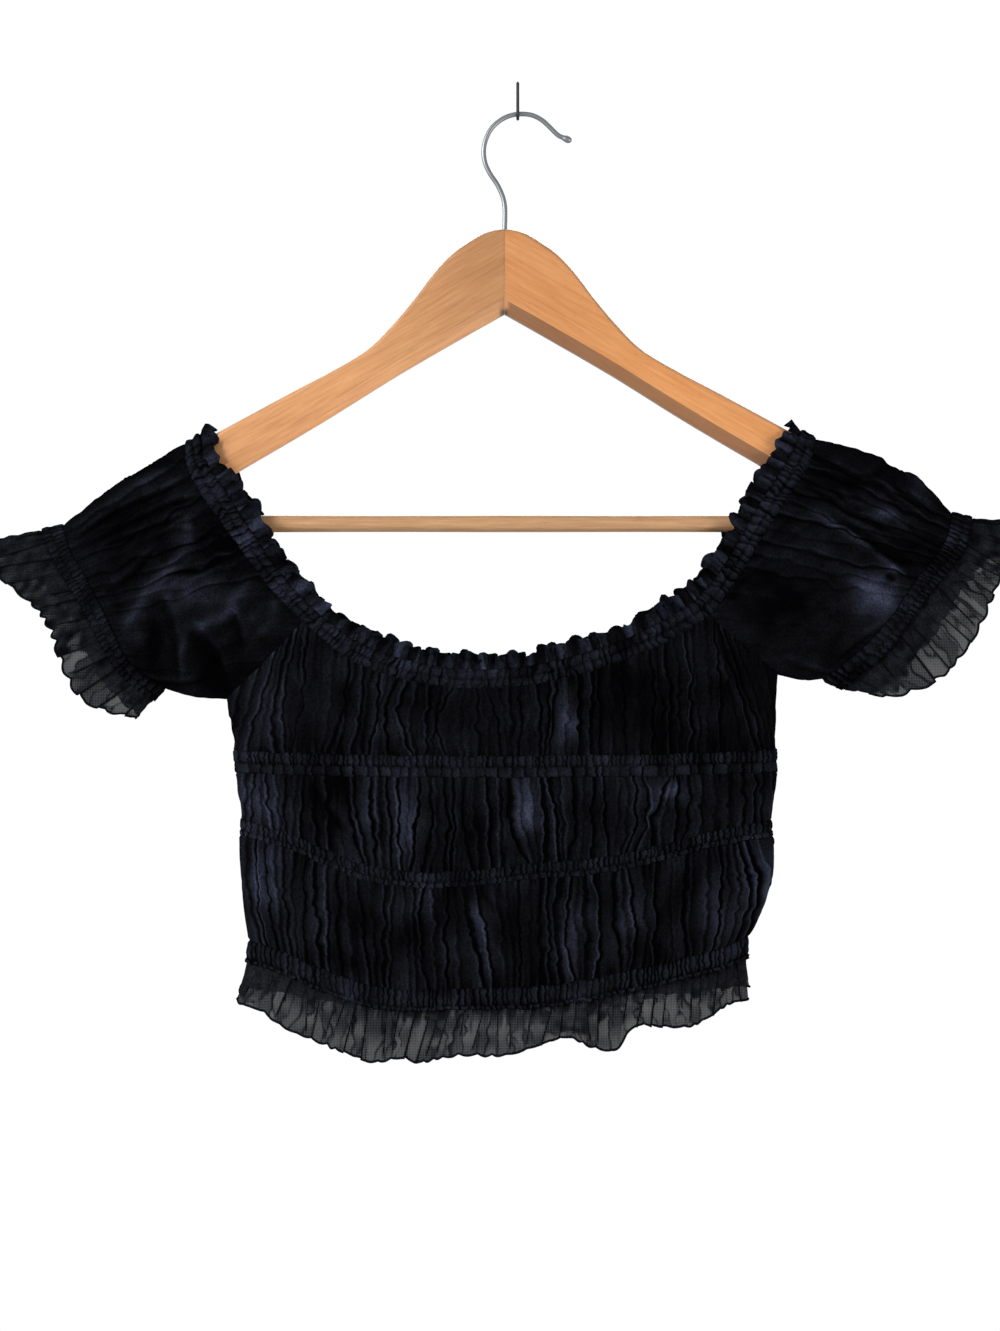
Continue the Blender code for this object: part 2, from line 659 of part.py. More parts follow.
def wire(name, route, radius, finish, parent, detail=3):
    """Round wire with closed ends along a smooth route."""
    data = bpy.data.curves.new(name, "CURVE")
    data.dimensions = "3D"
    data.bevel_depth = radius * MM
    data.bevel_resolution = detail
    data.use_fill_caps = True
    spline = data.splines.new("POLY")
    spline.points.add(len(route) - 1)
    for knot, point in zip(spline.points, route):
        knot.co = (*(point * MM), 1.0)
    spline.use_smooth = True
    data.materials.append(finish)
    made = bpy.data.objects.new(name, data)
    made.parent = parent
    bpy.context.collection.objects.link(made)
    return made


def hanger_hook(finish, parent):
    """Steel swivel hook whose wire ends in a small bulb."""
    steps = 2 * (len(HOOK_ROWS) - 1)
    route = []
    for step in range(steps + 1):
        x, z = along(HOOK_ROWS, step / 2)
        route.append(Vector((x, 0, z)))
    hook = wire("hanger_hook", route, HOOK_RADIUS, finish, parent, 2)
    tip = (route[-1] - route[-2]).normalized()
    profile = [1.0] * (steps - 1) + [1.0, HOOK_TIP / HOOK_RADIUS]
    for knot, scale in zip(hook.data.splines[0].points, profile):
        knot.radius = scale
    spline = hook.data.splines[0]
    ends = [(1.6, HOOK_TIP / HOOK_RADIUS), (2.8, 0.9), (3.3, 0.45)]
    spline.points.add(len(ends))
    for knot, (reach, scale) in zip(spline.points[-len(ends):], ends):
        knot.co = (*((route[-1] + tip * reach) * MM), 1.0)
        knot.radius = scale


def wall_hook(finish):
    """Small dark wire hook in the wall: shank, round bend under the hanger's wire, upturned tip."""
    bend = HOOK_RADIUS + SEAM + WALL_WIRE
    middle_z = HOOK_TOP_Z
    route = [Vector((0, 0, 0)), Vector((0, 0, -5.0)), Vector((0, 0, -10.0)), Vector((0, 0, -15.0))]
    for step in range(9):
        angle = math.pi * step / 8
        route.append(Vector((0, HANGER_Y + bend * math.cos(angle), middle_z - bend * math.sin(angle))))
    route.append(Vector((0, HANGER_Y - bend, WALL_WIRE_TIP)))
    wire("wall_hook", route, WALL_WIRE, finish, None, 2)


def build():
    clear_scene()
    cloth = material("navy_gauze", (0.010, 0.012, 0.022), 0.85)
    band = material("navy_gauze_casing", (0.008, 0.010, 0.018), 0.85)
    sheer = material("sheer_gauze", (0.020, 0.021, 0.028), 0.9)
    left_wood = material("beech_left", (0.62, 0.29, 0.10), 0.42)
    right_wood = material("beech_right", (0.72, 0.33, 0.10), 0.42)
    bar_wood = material("beech_bar", (0.58, 0.33, 0.15), 0.5)
    steel = material("bright_steel", (0.62, 0.63, 0.65), 0.25, 1.0)
    dark_steel = material("dark_steel", (0.06, 0.055, 0.06), 0.45, 0.8)

    hung = bpy.data.objects.new("hung_top", None)
    hung.location = (0, HANGER_Y * MM, 0)
    bpy.context.collection.objects.link(hung)

    for side in (FRONT, BACK):
        upper_tier(side, cloth, hung)
        hem_ruffle(side, sheer, hung)
    for row in TIERS:
        tier(row, cloth, hung)
    for name, upper, lower, side in CASINGS:
        body_casing(name, upper, lower, side, band, hung)
    neckline(band, cloth, hung)
    for hand in (-1, 1):
        sleeve(hand, cloth, band, sheer, hung)

    hanger_arm(-1, left_wood, hung)
    hanger_arm(1, right_wood, hung)
    bar = cylinder("hanger_bar", BAR_RADIUS, Vector((HANGER_X - BAR_REACH, 0, BAR_Z)),
                   Vector((HANGER_X + BAR_REACH, 0, BAR_Z)), 20)
    add_object("hanger_bar", bar, bar_wood, hung)
    hanger_hook(steel, hung)
    wall_hook(dark_steel)
    bpy.context.view_layer.update()


build()
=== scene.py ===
import math

import bmesh
import bpy
import numpy as np
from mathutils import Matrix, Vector


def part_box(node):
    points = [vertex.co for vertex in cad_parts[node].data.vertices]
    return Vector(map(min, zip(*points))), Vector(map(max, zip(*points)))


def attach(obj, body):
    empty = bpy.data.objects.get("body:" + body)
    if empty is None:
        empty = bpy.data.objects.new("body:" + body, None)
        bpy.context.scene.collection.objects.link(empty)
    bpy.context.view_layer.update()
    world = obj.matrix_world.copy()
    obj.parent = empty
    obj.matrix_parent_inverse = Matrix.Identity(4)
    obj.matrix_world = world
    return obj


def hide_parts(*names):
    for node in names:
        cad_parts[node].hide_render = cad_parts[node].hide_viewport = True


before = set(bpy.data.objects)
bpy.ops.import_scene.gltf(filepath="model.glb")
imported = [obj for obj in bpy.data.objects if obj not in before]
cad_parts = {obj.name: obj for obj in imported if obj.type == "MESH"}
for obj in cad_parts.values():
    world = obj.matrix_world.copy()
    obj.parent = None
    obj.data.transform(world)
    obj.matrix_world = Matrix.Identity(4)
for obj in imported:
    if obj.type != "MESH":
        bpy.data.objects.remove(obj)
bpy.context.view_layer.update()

# Off-shoulder crop top of navy-black cotton gauze on a beech hanger, hung from a wire wall hook.
# Lengths are millimetres until addMesh turns them to metres. The cloth and the hanger stand a little in front
# of the wall hook's shank, whose top is the origin.
mm = 0.001
hangY = -2.8  # where the hanger's middle plane lies
front, back = -1, 1
print("frame loaded:", len(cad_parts), "nodes")


# small helpers

def linearColour(code):  # sRGB hex to the linear colour that shaders want
    parts = [int(code[i:i + 2], 16) / 255 for i in (1, 3, 5)]
    return tuple(c / 12.92 if c <= 0.04045 else ((c + 0.055) / 1.055) ** 2.4 for c in parts) + (1.0,)


# one node with its settings (properties or socket values) and its incoming links
def addNode(tree, kind, settings=None, links=None):
    node = tree.nodes.new(kind)
    for key, value in (settings or {}).items():
        if isinstance(key, str) and hasattr(node, key):
            setattr(node, key, value)
        else:
            node.inputs[key].default_value = value
    for key, source in (links or {}).items():
        tree.links.new(source, node.inputs[key])
    return node


def mix(a, b, share):
    return a + (b - a) * share


def along(rows, place):  # values between a table's rows, on a smooth curve through them
    last = len(rows) - 1
    start = max(0, min(int(place), last - 1))
    t = place - start
    picked = [rows[max(start - 1, 0)], rows[start], rows[start + 1], rows[min(start + 2, last)]]
    p, q, r, s = (np.array(row, float) for row in picked)
    return q + 0.5 * ((r - p) * t + (2 * p - 5 * q + 4 * r - s) * t ** 2 + (3 * q - p - 3 * r + s) * t ** 3)


def finePairs(rows, steps=40):  # a two-column table, drawn out smoothly for np.interp
    places = np.linspace(0, len(rows) - 1, (len(rows) - 1) * steps + 1)
    fine = np.array([along(rows, p) for p in places])
    return fine[:, 0], fine[:, 1]


def unit(vectors):
    return vectors / np.maximum(np.linalg.norm(vectors, axis=-1, keepdims=True), 1e-9)


def swell(v, power):
    return np.clip(np.sin(np.pi * np.clip(v, 0, 1)), 0, 1) ** power


def smoothStep(low, high, value):
    t = np.clip((value - low) / (high - low), 0, 1)
    return t * t * (3 - 2 * t)


# grid of points in mm, rows by columns, as a smooth mesh whose fold attribute holds painted light and shade
def addMesh(name, points, fold, closed, material, tube=False):
    rows, columns = points.shape[:2]
    grid = np.arange(rows * columns).reshape(rows, columns)
    wide = np.concatenate([grid, grid[:, :1]], axis=1) if closed else grid
    if tube:
        wide = np.concatenate([wide, wide[:1]], axis=0)
    quads = np.stack([wide[:-1, :-1], wide[:-1, 1:], wide[1:, 1:], wide[1:, :-1]], axis=-1).reshape(-1, 4)
    mesh = bpy.data.meshes.new(name)
    mesh.from_pydata((points.reshape(-1, 3) * mm).tolist(), [], quads.tolist())
    depth = mesh.attributes.new("fold", "FLOAT", "POINT")
    depth.data.foreach_set("value", np.ascontiguousarray(fold, dtype=np.float32).reshape(-1))
    mesh.shade_smooth()
    mesh.materials.append(material)
    made = bpy.data.objects.new(name, mesh)
    bpy.context.collection.objects.link(made)
    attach(made, "root")
    return made


# materials

gauze = dict(
    threads=0.9,  # mm apart; real ones stand 0.4 mm apart, drawn coarser so that they show
    crinkle=2.6, fibres=1.1, cloud=45.0,  # mm
    ridge="#353949", neutral="#37373c", valley="#030304",  # painted highlight on the ridges, half lit, painted shade down in the folds
    roughness=0.9,
)
beech = dict(grain=1.6, rings=14.0, flecks=2.2, flame=0.5)  # mm across the grain, then the rings' share


# crinkled plain-woven cotton: matt and slubbed; painted highlights, bluish, on its ridges, painted shade,
# near black, in its folds
def gauzeMaterial(name, ridge, neutral, valley, sheer=None):
    made = bpy.data.materials.new(name)
    made.use_nodes = True
    tree = made.node_tree
    shader = tree.nodes["Principled BSDF"]
    place = addNode(tree, "ShaderNodeTexCoord").outputs["Object"]
    # the fold attribute sets the tone: on the gauze, painted light on its ridges and painted shade in its
    # creases
    depth = addNode(tree, "ShaderNodeAttribute", dict(attribute_name="fold")).outputs["Fac"]
    cloud = addNode(tree, "ShaderNodeTexNoise", {"Scale": 1 / (gauze["cloud"] * mm), "Detail": 3.0},
                    {"Vector": place})
    lifted = addNode(tree, "ShaderNodeMath", {"operation": "MULTIPLY_ADD", 1: 0.25},
                     {0: cloud.outputs["Fac"], 2: depth})
    spread = addNode(tree, "ShaderNodeMapRange", {"From Min": 0.12, "From Max": 1.12},
                     {"Value": lifted.outputs[0]})
    lit = addNode(tree, "ShaderNodeMapRange", {"From Min": 0.03, "From Max": 0.35},
                  {"Value": spread.outputs["Result"]})
    hue = addNode(tree, "ShaderNodeMix",
                  {"data_type": "RGBA", 6: linearColour(neutral), 7: linearColour(ridge)},
                  {0: lit.outputs["Result"]})
    tone = addNode(tree, "ShaderNodeMix", {"data_type": "RGBA", 6: linearColour(valley)},
                   {0: spread.outputs["Result"], 7: hue.outputs[2]})
    fibres = addNode(tree, "ShaderNodeTexNoise",
                     {"Scale": 1 / (gauze["fibres"] * mm), "Detail": 4.0, "Roughness": 0.7},
                     {"Vector": place})
    fibreTone = addNode(tree, "ShaderNodeMapRange", {"To Min": -0.5, "To Max": 2.5},
                        {"Value": fibres.outputs["Fac"]})
    dyed = addNode(tree, "ShaderNodeVectorMath", dict(operation="SCALE"),
                   {0: tone.outputs[2], "Scale": fibreTone.outputs["Result"]})
    tree.links.new(dyed.outputs[0], shader.inputs["Base Color"])
    weave = {"wave_type": "BANDS", "wave_profile": "SIN", "Scale": 0.314 / (gauze["threads"] * mm),
             "Distortion": 1.2, "Detail": 1.0}  # this node's bands lie 0.314 / Scale apart
    warp = addNode(tree, "ShaderNodeTexWave", {**weave, "bands_direction": "X"}, {"Vector": place})
    weft = addNode(tree, "ShaderNodeTexWave", {**weave, "bands_direction": "Z"}, {"Vector": place})
    threads = addNode(tree, "ShaderNodeMath", dict(operation="MAXIMUM"),
                      {0: warp.outputs["Fac"], 1: weft.outputs["Fac"]})
    crinkle = addNode(tree, "ShaderNodeTexNoise", {"Scale": 1 / (gauze["crinkle"] * mm), "Detail": 3.0},
                      {"Vector": place})
    fine = addNode(tree, "ShaderNodeBump", {"Strength": 0.35, "Distance": 0.15 * mm},
                   {"Height": threads.outputs[0]})
    bump = addNode(tree, "ShaderNodeBump", {"Strength": 0.9, "Distance": 0.8 * mm},
                   {"Height": crinkle.outputs["Fac"], "Normal": fine.outputs["Normal"]})
    tree.links.new(bump.outputs["Normal"], shader.inputs["Normal"])
    shader.inputs["Roughness"].default_value = gauze["roughness"]
    shader.inputs["Specular IOR Level"].default_value = 0.0
    if sheer:  # light comes through between the threads, less where the cloth is folded
        gaps = addNode(tree, "ShaderNodeMapRange", {"To Min": sheer["gap"], "To Max": sheer["thread"]},
                       {"Value": threads.outputs[0]})
        slub = addNode(tree, "ShaderNodeMath", {"operation": "MULTIPLY_ADD", 1: 0.12},
                       {0: fibres.outputs["Fac"], 2: gaps.outputs["Result"]})
        closed = addNode(tree, "ShaderNodeMath",
                         {"operation": "MULTIPLY_ADD", "use_clamp": True, 1: sheer["folded"]},
                         {0: depth, 2: slub.outputs[0]})
        tree.links.new(closed.outputs[0], shader.inputs["Alpha"])
    return made


# lacquered beech: short dark flecks in a fine straight grain under a satin coat
def woodMaterial(name, light, dark, tilt, roughness=0.36):
    made = bpy.data.materials.new(name)
    made.use_nodes = True
    tree = made.node_tree
    shader = tree.nodes["Principled BSDF"]
    place = addNode(tree, "ShaderNodeTexCoord").outputs["Object"]
    turned = addNode(tree, "ShaderNodeMapping", {"Rotation": (0, math.radians(tilt), 0)}, {"Vector": place})
    grainSpace = addNode(tree, "ShaderNodeMapping", {"Scale": (0.06, 1.0, 1.0)},
                         {"Vector": turned.outputs[0]})  # drawn out along the grain
    grain = addNode(tree, "ShaderNodeTexNoise",
                    {"Scale": 1 / (beech["grain"] * mm), "Detail": 5.0, "Roughness": 0.6},
                    {"Vector": grainSpace.outputs[0]})
    rings = addNode(tree, "ShaderNodeTexNoise",
                    {"Scale": 1 / (beech["rings"] * mm), "Detail": 2.0, "Distortion": 0.6},
                    {"Vector": grainSpace.outputs[0]})
    both = addNode(tree, "ShaderNodeMath", {"operation": "MULTIPLY_ADD", 1: beech["flame"]},
                   {0: rings.outputs["Fac"], 2: grain.outputs["Fac"]})
    spread = addNode(tree, "ShaderNodeMapRange", {"From Min": 0.5, "From Max": 1.0},
                     {"Value": both.outputs[0]})
    tone = addNode(tree, "ShaderNodeMix",
                   {"data_type": "RGBA", 6: linearColour(dark), 7: linearColour(light)},
                   {0: spread.outputs["Result"]})
    fleckSpace = addNode(tree, "ShaderNodeMapping", {"Scale": (0.22, 1.0, 1.0)},
                         {"Vector": turned.outputs[0]})
    flecks = addNode(tree, "ShaderNodeTexVoronoi", {"Scale": 1 / (beech["flecks"] * mm), "Randomness": 1.0},
                     {"Vector": fleckSpace.outputs[0]})
    fleck = addNode(tree, "ShaderNodeMapRange", {"From Min": 0.02, "From Max": 0.2, "To Min": 0.82},
                    {"Value": flecks.outputs["Distance"]})
    flecked = addNode(tree, "ShaderNodeVectorMath", dict(operation="SCALE"),
                      {0: tone.outputs[2], "Scale": fleck.outputs["Result"]})
    # the mesh's fold attribute: darker at the joint, painted shade in its notch, painted light and shade on
    # the chamfers
    toneScale = addNode(tree, "ShaderNodeAttribute", dict(attribute_name="fold")).outputs["Fac"]
    shaded = addNode(tree, "ShaderNodeVectorMath", dict(operation="SCALE"),
                     {0: flecked.outputs[0], "Scale": toneScale})
    tree.links.new(shaded.outputs[0], shader.inputs["Base Color"])
    bump = addNode(tree, "ShaderNodeBump", {"Strength": 0.15, "Distance": 0.1 * mm},
                   {"Height": grain.outputs["Fac"]})
    tree.links.new(bump.outputs["Normal"], shader.inputs["Normal"])
    shader.inputs["Roughness"].default_value = roughness
    shader.inputs["IOR"].default_value = 1.5
    shader.inputs["Coat Weight"].default_value = 0.25
    shader.inputs["Coat Roughness"].default_value = 0.3
    return made


wireSpecks = 1.5  # mm across


# drawn steel wire: small specks of wear break its reflections up a little
def wireMaterial(name, colour, roughness, scratch):
    made = bpy.data.materials.new(name)
    made.use_nodes = True
    tree = made.node_tree
    shader = tree.nodes["Principled BSDF"]
    place = addNode(tree, "ShaderNodeTexCoord").outputs["Object"]
    specks = addNode(tree, "ShaderNodeTexNoise", {"Scale": 1 / (wireSpecks * mm), "Detail": 4.0},
                     {"Vector": place})
    wear = addNode(tree, "ShaderNodeMapRange", {"To Min": roughness, "To Max": roughness + scratch},
                   {"Value": specks.outputs["Fac"]})
    tree.links.new(wear.outputs["Result"], shader.inputs["Roughness"])
    dull = tuple(0.8 * c for c in linearColour(colour)[:3]) + (1.0,)
    tint = addNode(tree, "ShaderNodeMix", {"data_type": "RGBA", 6: linearColour(colour), 7: dull},
                   {0: specks.outputs["Fac"]})
    tree.links.new(tint.outputs[2], shader.inputs["Base Color"])
    shader.inputs["Metallic"].default_value = 1.0
    return made


clothTones = gauze["ridge"], gauze["neutral"], gauze["valley"]
cottonGauze = gauzeMaterial("crinkled cotton gauze, woven", *clothTones)
gatheredGauze = gauzeMaterial("cotton gauze over elastic, sewn", *clothTones)
# one thin layer: grey where the white behind comes through between its threads, black where it lies double
sheerGauze = gauzeMaterial("single cotton gauze, sheer woven", "#0b0b0e", "#0c0c0d", "#212226",
                           dict(gap=0.77, thread=0.87, folded=0.22))  # how much each part covers
# thread packed close round the cut edge: a fine darker line
rolledEdge = gauzeMaterial("rolled gauze edge, overlocked", "#16181f", "#161616", "#040406")
# two boards that meet in a mitre, with the grain down along each of them
# the left board's colour is painted darker and browner, the right one's lighter and more orange: painted
# light from the right
beechLeftPaintedShade = woodMaterial("lacquered beech, tan", "#d69b67", "#b47a49", 30)
beechRightPaintedLight = woodMaterial("lacquered beech, warm", "#df9d63", "#c98146", -30)
beechBar = woodMaterial("turned beech bar", "#c79b6e", "#a1754f", 0, 0.45)  # greyer and duller
platedSteel = wireMaterial("bright plated steel wire, drawn", "#85888c", 0.42, 0.05)  # soft long highlights
darkWire = wireMaterial("dark annealed steel wire", "#3b3639", 0.5, 0.05)  # brownish grey, dull
print("materials made")


# where the cloth lies: the seam lines of the garment, seen from the front

bodyDepth, hemDepth, cuffDepth, cuffFrillDepth = 21.0, 25.0, 18.0, 21.0  # from the middle to the front
bodyHalfWidth = 157.0  # over which the columns are spaced
seamY = 0.15  # the front's side seams stand this far from the middle
bodyEnds = (-172, 155)  # x where the gathers' creases begin and end
wrapPoints = 16  # of each line over the hanger's arm
roundness = 0.8  # of the section seen from above: 1 is an ellipse, less is fuller
sideTurn, armpitTilt = 0.25, 0.2  # how far the cloth faces outwards at its sides and down at the armpits
backDip = 0.45  # share of the front seams' dip that the back's have
casingLift = 0.6
hangerX = -7.8  # the hanger's middle

bodyLines = {  # left x, left z, right x, right z, depth
    "bustTop": (-165.0, -391.5, 150.0, -391.0, bodyDepth),
    "bustBottom": (-163.6, -405.5, 150.2, -405.0, bodyDepth),
    "waistTop": (-160.6, -431.5, 147.0, -432.0, bodyDepth),
    "waistBottom": (-161.0, -441.5, 147.3, -442.5, bodyDepth),
    "hemTop": (-155.6, -502.0, 133.2, -500.0, bodyDepth),
    "hemBottom": (-158.0, -515.5, 133.4, -513.8, bodyDepth),
    "edge": (-165.0, -536.5, 134.0, -537.0, hemDepth),
}
bustDip = [(0.0, 0.0), (0.25, 1.6), (0.5, 2.4), (0.75, 1.4), (1.0, 0.0)]  # share of the width, drop
waistDip = [(0.0, 0.0), (0.08, 6.4), (0.15, 14.8), (0.22, 23.4), (0.30, 28.0), (0.37, 29.2),
            (0.46, 27.4), (0.55, 23.6), (0.65, 21.6), (0.73, 17.6), (0.81, 11.6), (0.9, 5.0), (1.0, 0.0)]
hemDip = [(0.0, 0.0), (0.06, 4.6), (0.13, 13.0), (0.2, 20.6), (0.28, 26.2), (0.37, 26.6),
          (0.47, 25.8), (0.57, 25.4), (0.65, 22.8), (0.74, 18.0), (0.83, 12.6), (0.92, 7.0), (1.0, 0.0)]
edgeDip = [(0.0, 0.0), (0.06, 6.5), (0.12, 17.0), (0.2, 25.5), (0.27, 32.5), (0.33, 30.5), (0.36, 33.0),
           (0.44, 28.5), (0.53, 28.5), (0.6, 22.0), (0.65, 18.5), (0.7, 24.5), (0.74, 25.5),
           (0.78, 12.5), (0.85, 13.0), (0.9, 10.5), (0.95, 2.0), (1.0, 0.0)]
dips = {name: finePairs(rows) for name, rows in dict(
    bustTop=bustDip, bustBottom=bustDip, waistTop=waistDip, waistBottom=waistDip,
    hemTop=hemDip, hemBottom=hemDip, edge=edgeDip).items()}

neckRows = [  # casing's outer edge x, z, free edge of the frill x, z
    (-192.6, -214.5, -177.5, -205.5), (-193.0, -226.0, -176.0, -215.5), (-186.0, -241.0, -165.5, -231.0),
    (-175.0, -256.5, -155.5, -247.0), (-163.5, -272.0, -145.6, -263.0), (-152.0, -287.5, -135.5, -279.0),
    (-139.5, -302.5, -124.5, -292.5), (-124.4, -317.0, -111.0, -307.0), (-100.0, -338.0, -88.0, -321.5),
    (-70.0, -350.2, -62.0, -331.0), (-38.0, -355.6, -35.0, -336.0), (-4.0, -355.4, -4.0, -336.0),
    (30.0, -349.6, 26.0, -330.0), (60.0, -340.0, 54.0, -321.5), (89.0, -327.5, 78.5, -310.0),
    (111.4, -313.5, 97.0, -297.0), (125.9, -295.0, 110.0, -283.5), (137.5, -276.0, 120.5, -266.5),
    (150.0, -256.5, 131.0, -247.0), (162.0, -239.0, 141.5, -229.5), (171.0, -223.5, 152.5, -213.0),
    (172.5, -210.5, 157.0, -203.0),
]
leftCorner, rightCorner, lastRow = 7, 15, 21  # rows where the raglan seams meet the neckline, and its last
shoulderSteps = 7.0  # steps along a shoulder's part of the neckline
armpits = {-1: (-168.8, -361.3), 1: (151.0, -346.8)}

cuffRows = {  # casing's inner edge x, z, its outer edge x, z, free edge of the frill x, z
    -1: [(-263.9, -261.0, -277.5, -264.0, -309.0, -270.5), (-257.5, -277.0, -268.5, -284.0, -298.0, -290.5),
         (-249.0, -291.5, -259.0, -298.5, -281.0, -305.0), (-240.5, -307.0, -250.0, -313.0, -268.0, -320.0),
         (-233.0, -323.0, -242.0, -329.0, -262.0, -339.0), (-224.0, -340.0, -231.0, -347.0, -249.0, -362.0),
         (-206.0, -355.5, -212.5, -362.0, -222.0, -372.5)],
    1: [(251.7, -254.0, 264.5, -257.0, 290.0, -261.0), (247.5, -269.0, 259.5, -275.0, 281.5, -285.0),
        (238.0, -282.0, 249.0, -288.5, 272.0, -304.0), (227.5, -295.5, 238.0, -301.5, 262.5, -325.0),
        (217.0, -311.0, 227.5, -316.0, 249.5, -341.5), (202.0, -329.0, 212.5, -336.0, 230.5, -354.5),
        (178.0, -350.0, 190.0, -355.5, 206.0, -361.5)],
}

# cloth bent over the hanger's arm: how far in front of its middle, how far down, lean in degrees
wrapRows = [(0.0, 0.0, 0.0), (4.2, 0.0, 0.0), (7.6, 0.25, 25.0), (8.9, 1.7, 65.0)]
wrapY = 9.2  # where the bend ends
casingThickness, seamGap = 2.2, 0.35

armRows = [  # reach from the hanger's middle, top z, bottom z
    (0.02, -87.6, -136.9), (8.0, -88.9, -141.4), (16.2, -92.5, -146.0), (30.2, -102.1, -154.0),
    (41.2, -113.7, -160.3), (52.2, -128.2, -166.7), (64.4, -142.7, -173.9), (79.5, -157.8, -183.3),
    (101.5, -171.1, -197.1), (124.7, -183.3, -211.0), (165.3, -205.3, -235.0), (187.0, -217.6, -251.0),
    (199.0, -224.4, -264.5), (209.0, -230.1, -270.5), (217.5, -235.5, -268.5), (222.0, -243.0, -261.0),
]


def evenTurns(columns):  # turns across the body whose columns lie evenly on the cloth
    turns = np.linspace(0, math.pi, 6000)
    x, y = -bodyHalfWidth * np.cos(turns), bodyDepth * np.sin(turns) ** roundness
    length = np.concatenate([[0], np.cumsum(np.hypot(np.diff(x), np.diff(y)))])
    return np.interp(np.linspace(0, length[-1], columns), length, turns)


def flip(points, normals, side):
    if side == back:
        points, normals = points * (1, -1, 1), normals * (1, -1, 1)
    return points, normals


def bodyLine(name, turns, side):
    leftX, leftZ, rightX, rightZ, depth = bodyLines[name]
    share = (1 - np.cos(turns)) / 2
    drop = np.interp(share, *dips[name]) * (backDip if side == back else 1)
    y = -(seamY + depth * np.sin(turns) ** roundness)
    points = np.stack([mix(leftX, rightX, share), y, mix(leftZ, rightZ, share) - drop], axis=1)
    normals = unit(np.stack([-np.cos(turns) * sideTurn, -np.sin(turns), 0 * turns], axis=1))
    return flip(points, normals, side)


def topPoints(x, z, side=front):  # points of the yoke's upper edge, on the neckline or a raglan seam
    left, right = armpits[-1][0], armpits[1][0]
    cosine = np.clip(((left + right) / 2 - x) / ((right - left) / 2), -1, 1)
    sine = np.sqrt(1 - cosine ** 2)
    points = np.stack([x, -(seamY + bodyDepth * sine ** roundness), z], axis=-1)
    normals = unit(np.stack([-cosine * sideTurn, -sine, -armpitTilt * np.abs(cosine) ** 20], axis=-1))
    return flip(points, normals, side)


def raglanLine(hand, steps=60):  # raglan seam from the armpit to the neckline's corner, as x and z
    armX, armZ = armpits[hand]
    corner = neckRows[leftCorner if hand < 0 else rightCorner]
    share = np.linspace(0, 1, steps) ** 2.2
    return mix(armX, corner[0], share), mix(armZ, corner[1], share) - 1.5 * np.sin(np.pi * share)


def topEdge(turns, side):  # yoke's upper edge from armpit to armpit
    neck = np.array([along(neckRows, p) for p in np.linspace(leftCorner, rightCorner, 300)])
    leftX, leftZ = raglanLine(-1)
    rightX, rightZ = raglanLine(1)
    knotX = np.concatenate([leftX[:-1], neck[:, 0], rightX[::-1][1:]])
    knotZ = np.concatenate([leftZ[:-1], neck[:, 1], rightZ[::-1][1:]])
    left, right = armpits[-1][0], armpits[1][0]
    x = mix(left, right, (1 - np.cos(turns)) / 2)
    return topPoints(x, np.interp(x, knotX, knotZ), side)


def armTop(reach):
    return np.interp(reach, [row[0] for row in armRows], [row[1] for row in armRows])


def armUp(hand):
    slope = (armTop(190.0) - armTop(170.0)) / 20.0
    return unit(np.array([-hand * slope, 0.0, 1.0]))


def overTop(top, down, up):  # cloth bent over the hanger's arm, from the middle to the front
    points, normals = [], []
    for place in np.linspace(0, len(wrapRows) - 1, wrapPoints):
        distance, drop, lean = along(wrapRows, place)
        angle = math.radians(lean)
        points.append(top + down * drop + np.array([0, -distance, 0]))
        normals.append(up * math.cos(angle) + np.array([0, -math.sin(angle), 0]))
    return points, normals


# one shoulder's part of a line in the neck casing or frill, from the arm's top to the corner
def neckHalf(hand, share):
    corner = leftCorner if hand < 0 else rightCorner
    first = 0 if hand < 0 else lastRow
    span = (corner - first) / shoulderSteps

    def at(place):
        values = along(neckRows, first + place * span)
        return np.array([mix(values[0], values[2], share), 0.0, mix(values[1], values[3], share)])

    cornerPoint, cornerNormal = topPoints(np.array([neckRows[corner][0]]), np.array([neckRows[corner][1]]))
    up = armUp(hand)
    topX = at(0.0)[0]
    top = np.array([topX, 0, armTop(abs(topX - hangerX))]) + up * (casingThickness + seamGap)
    down = unit(at(1.0) - top)
    points, normals = overTop(top, down, up)
    for place in np.linspace(0.5, shoulderSteps, 40)[:-1]:
        part = place / shoulderSteps
        flat = at(place)
        flat[1] = -mix(wrapY, -cornerPoint[0, 1], part)
        points.append(flat)
        normals.append(unit(mix(np.array([0, -1.0, 0]), cornerNormal[0], part)))
    return np.array(points), np.array(normals)


def closeRing(points, normals):  # front half of a ring plus its mirrored back half
    mirrored = points[1:-1][::-1] * (1, -1, 1)
    turned = normals[1:-1][::-1] * (1, -1, 1)
    return np.concatenate([points, mirrored]), np.concatenate([normals, turned])


# closed line round the neckline: 0 is the casing's outer edge, 1 the frill's free edge
def neckLine(share):
    leftPoints, leftNormals = neckHalf(-1, share)
    rightPoints, rightNormals = neckHalf(1, share)
    rows = np.array([along(neckRows, p) for p in np.linspace(leftCorner, rightCorner, 120)])
    points, normals = topPoints(rows[:, 0], rows[:, 1])
    points[:, 0] = mix(rows[:, 0], rows[:, 2], share)
    points[:, 2] = mix(rows[:, 1], rows[:, 3], share)
    points = np.concatenate([leftPoints, points, rightPoints[::-1]])
    normals = np.concatenate([leftNormals, normals, rightNormals[::-1]])
    return closeRing(points, normals)


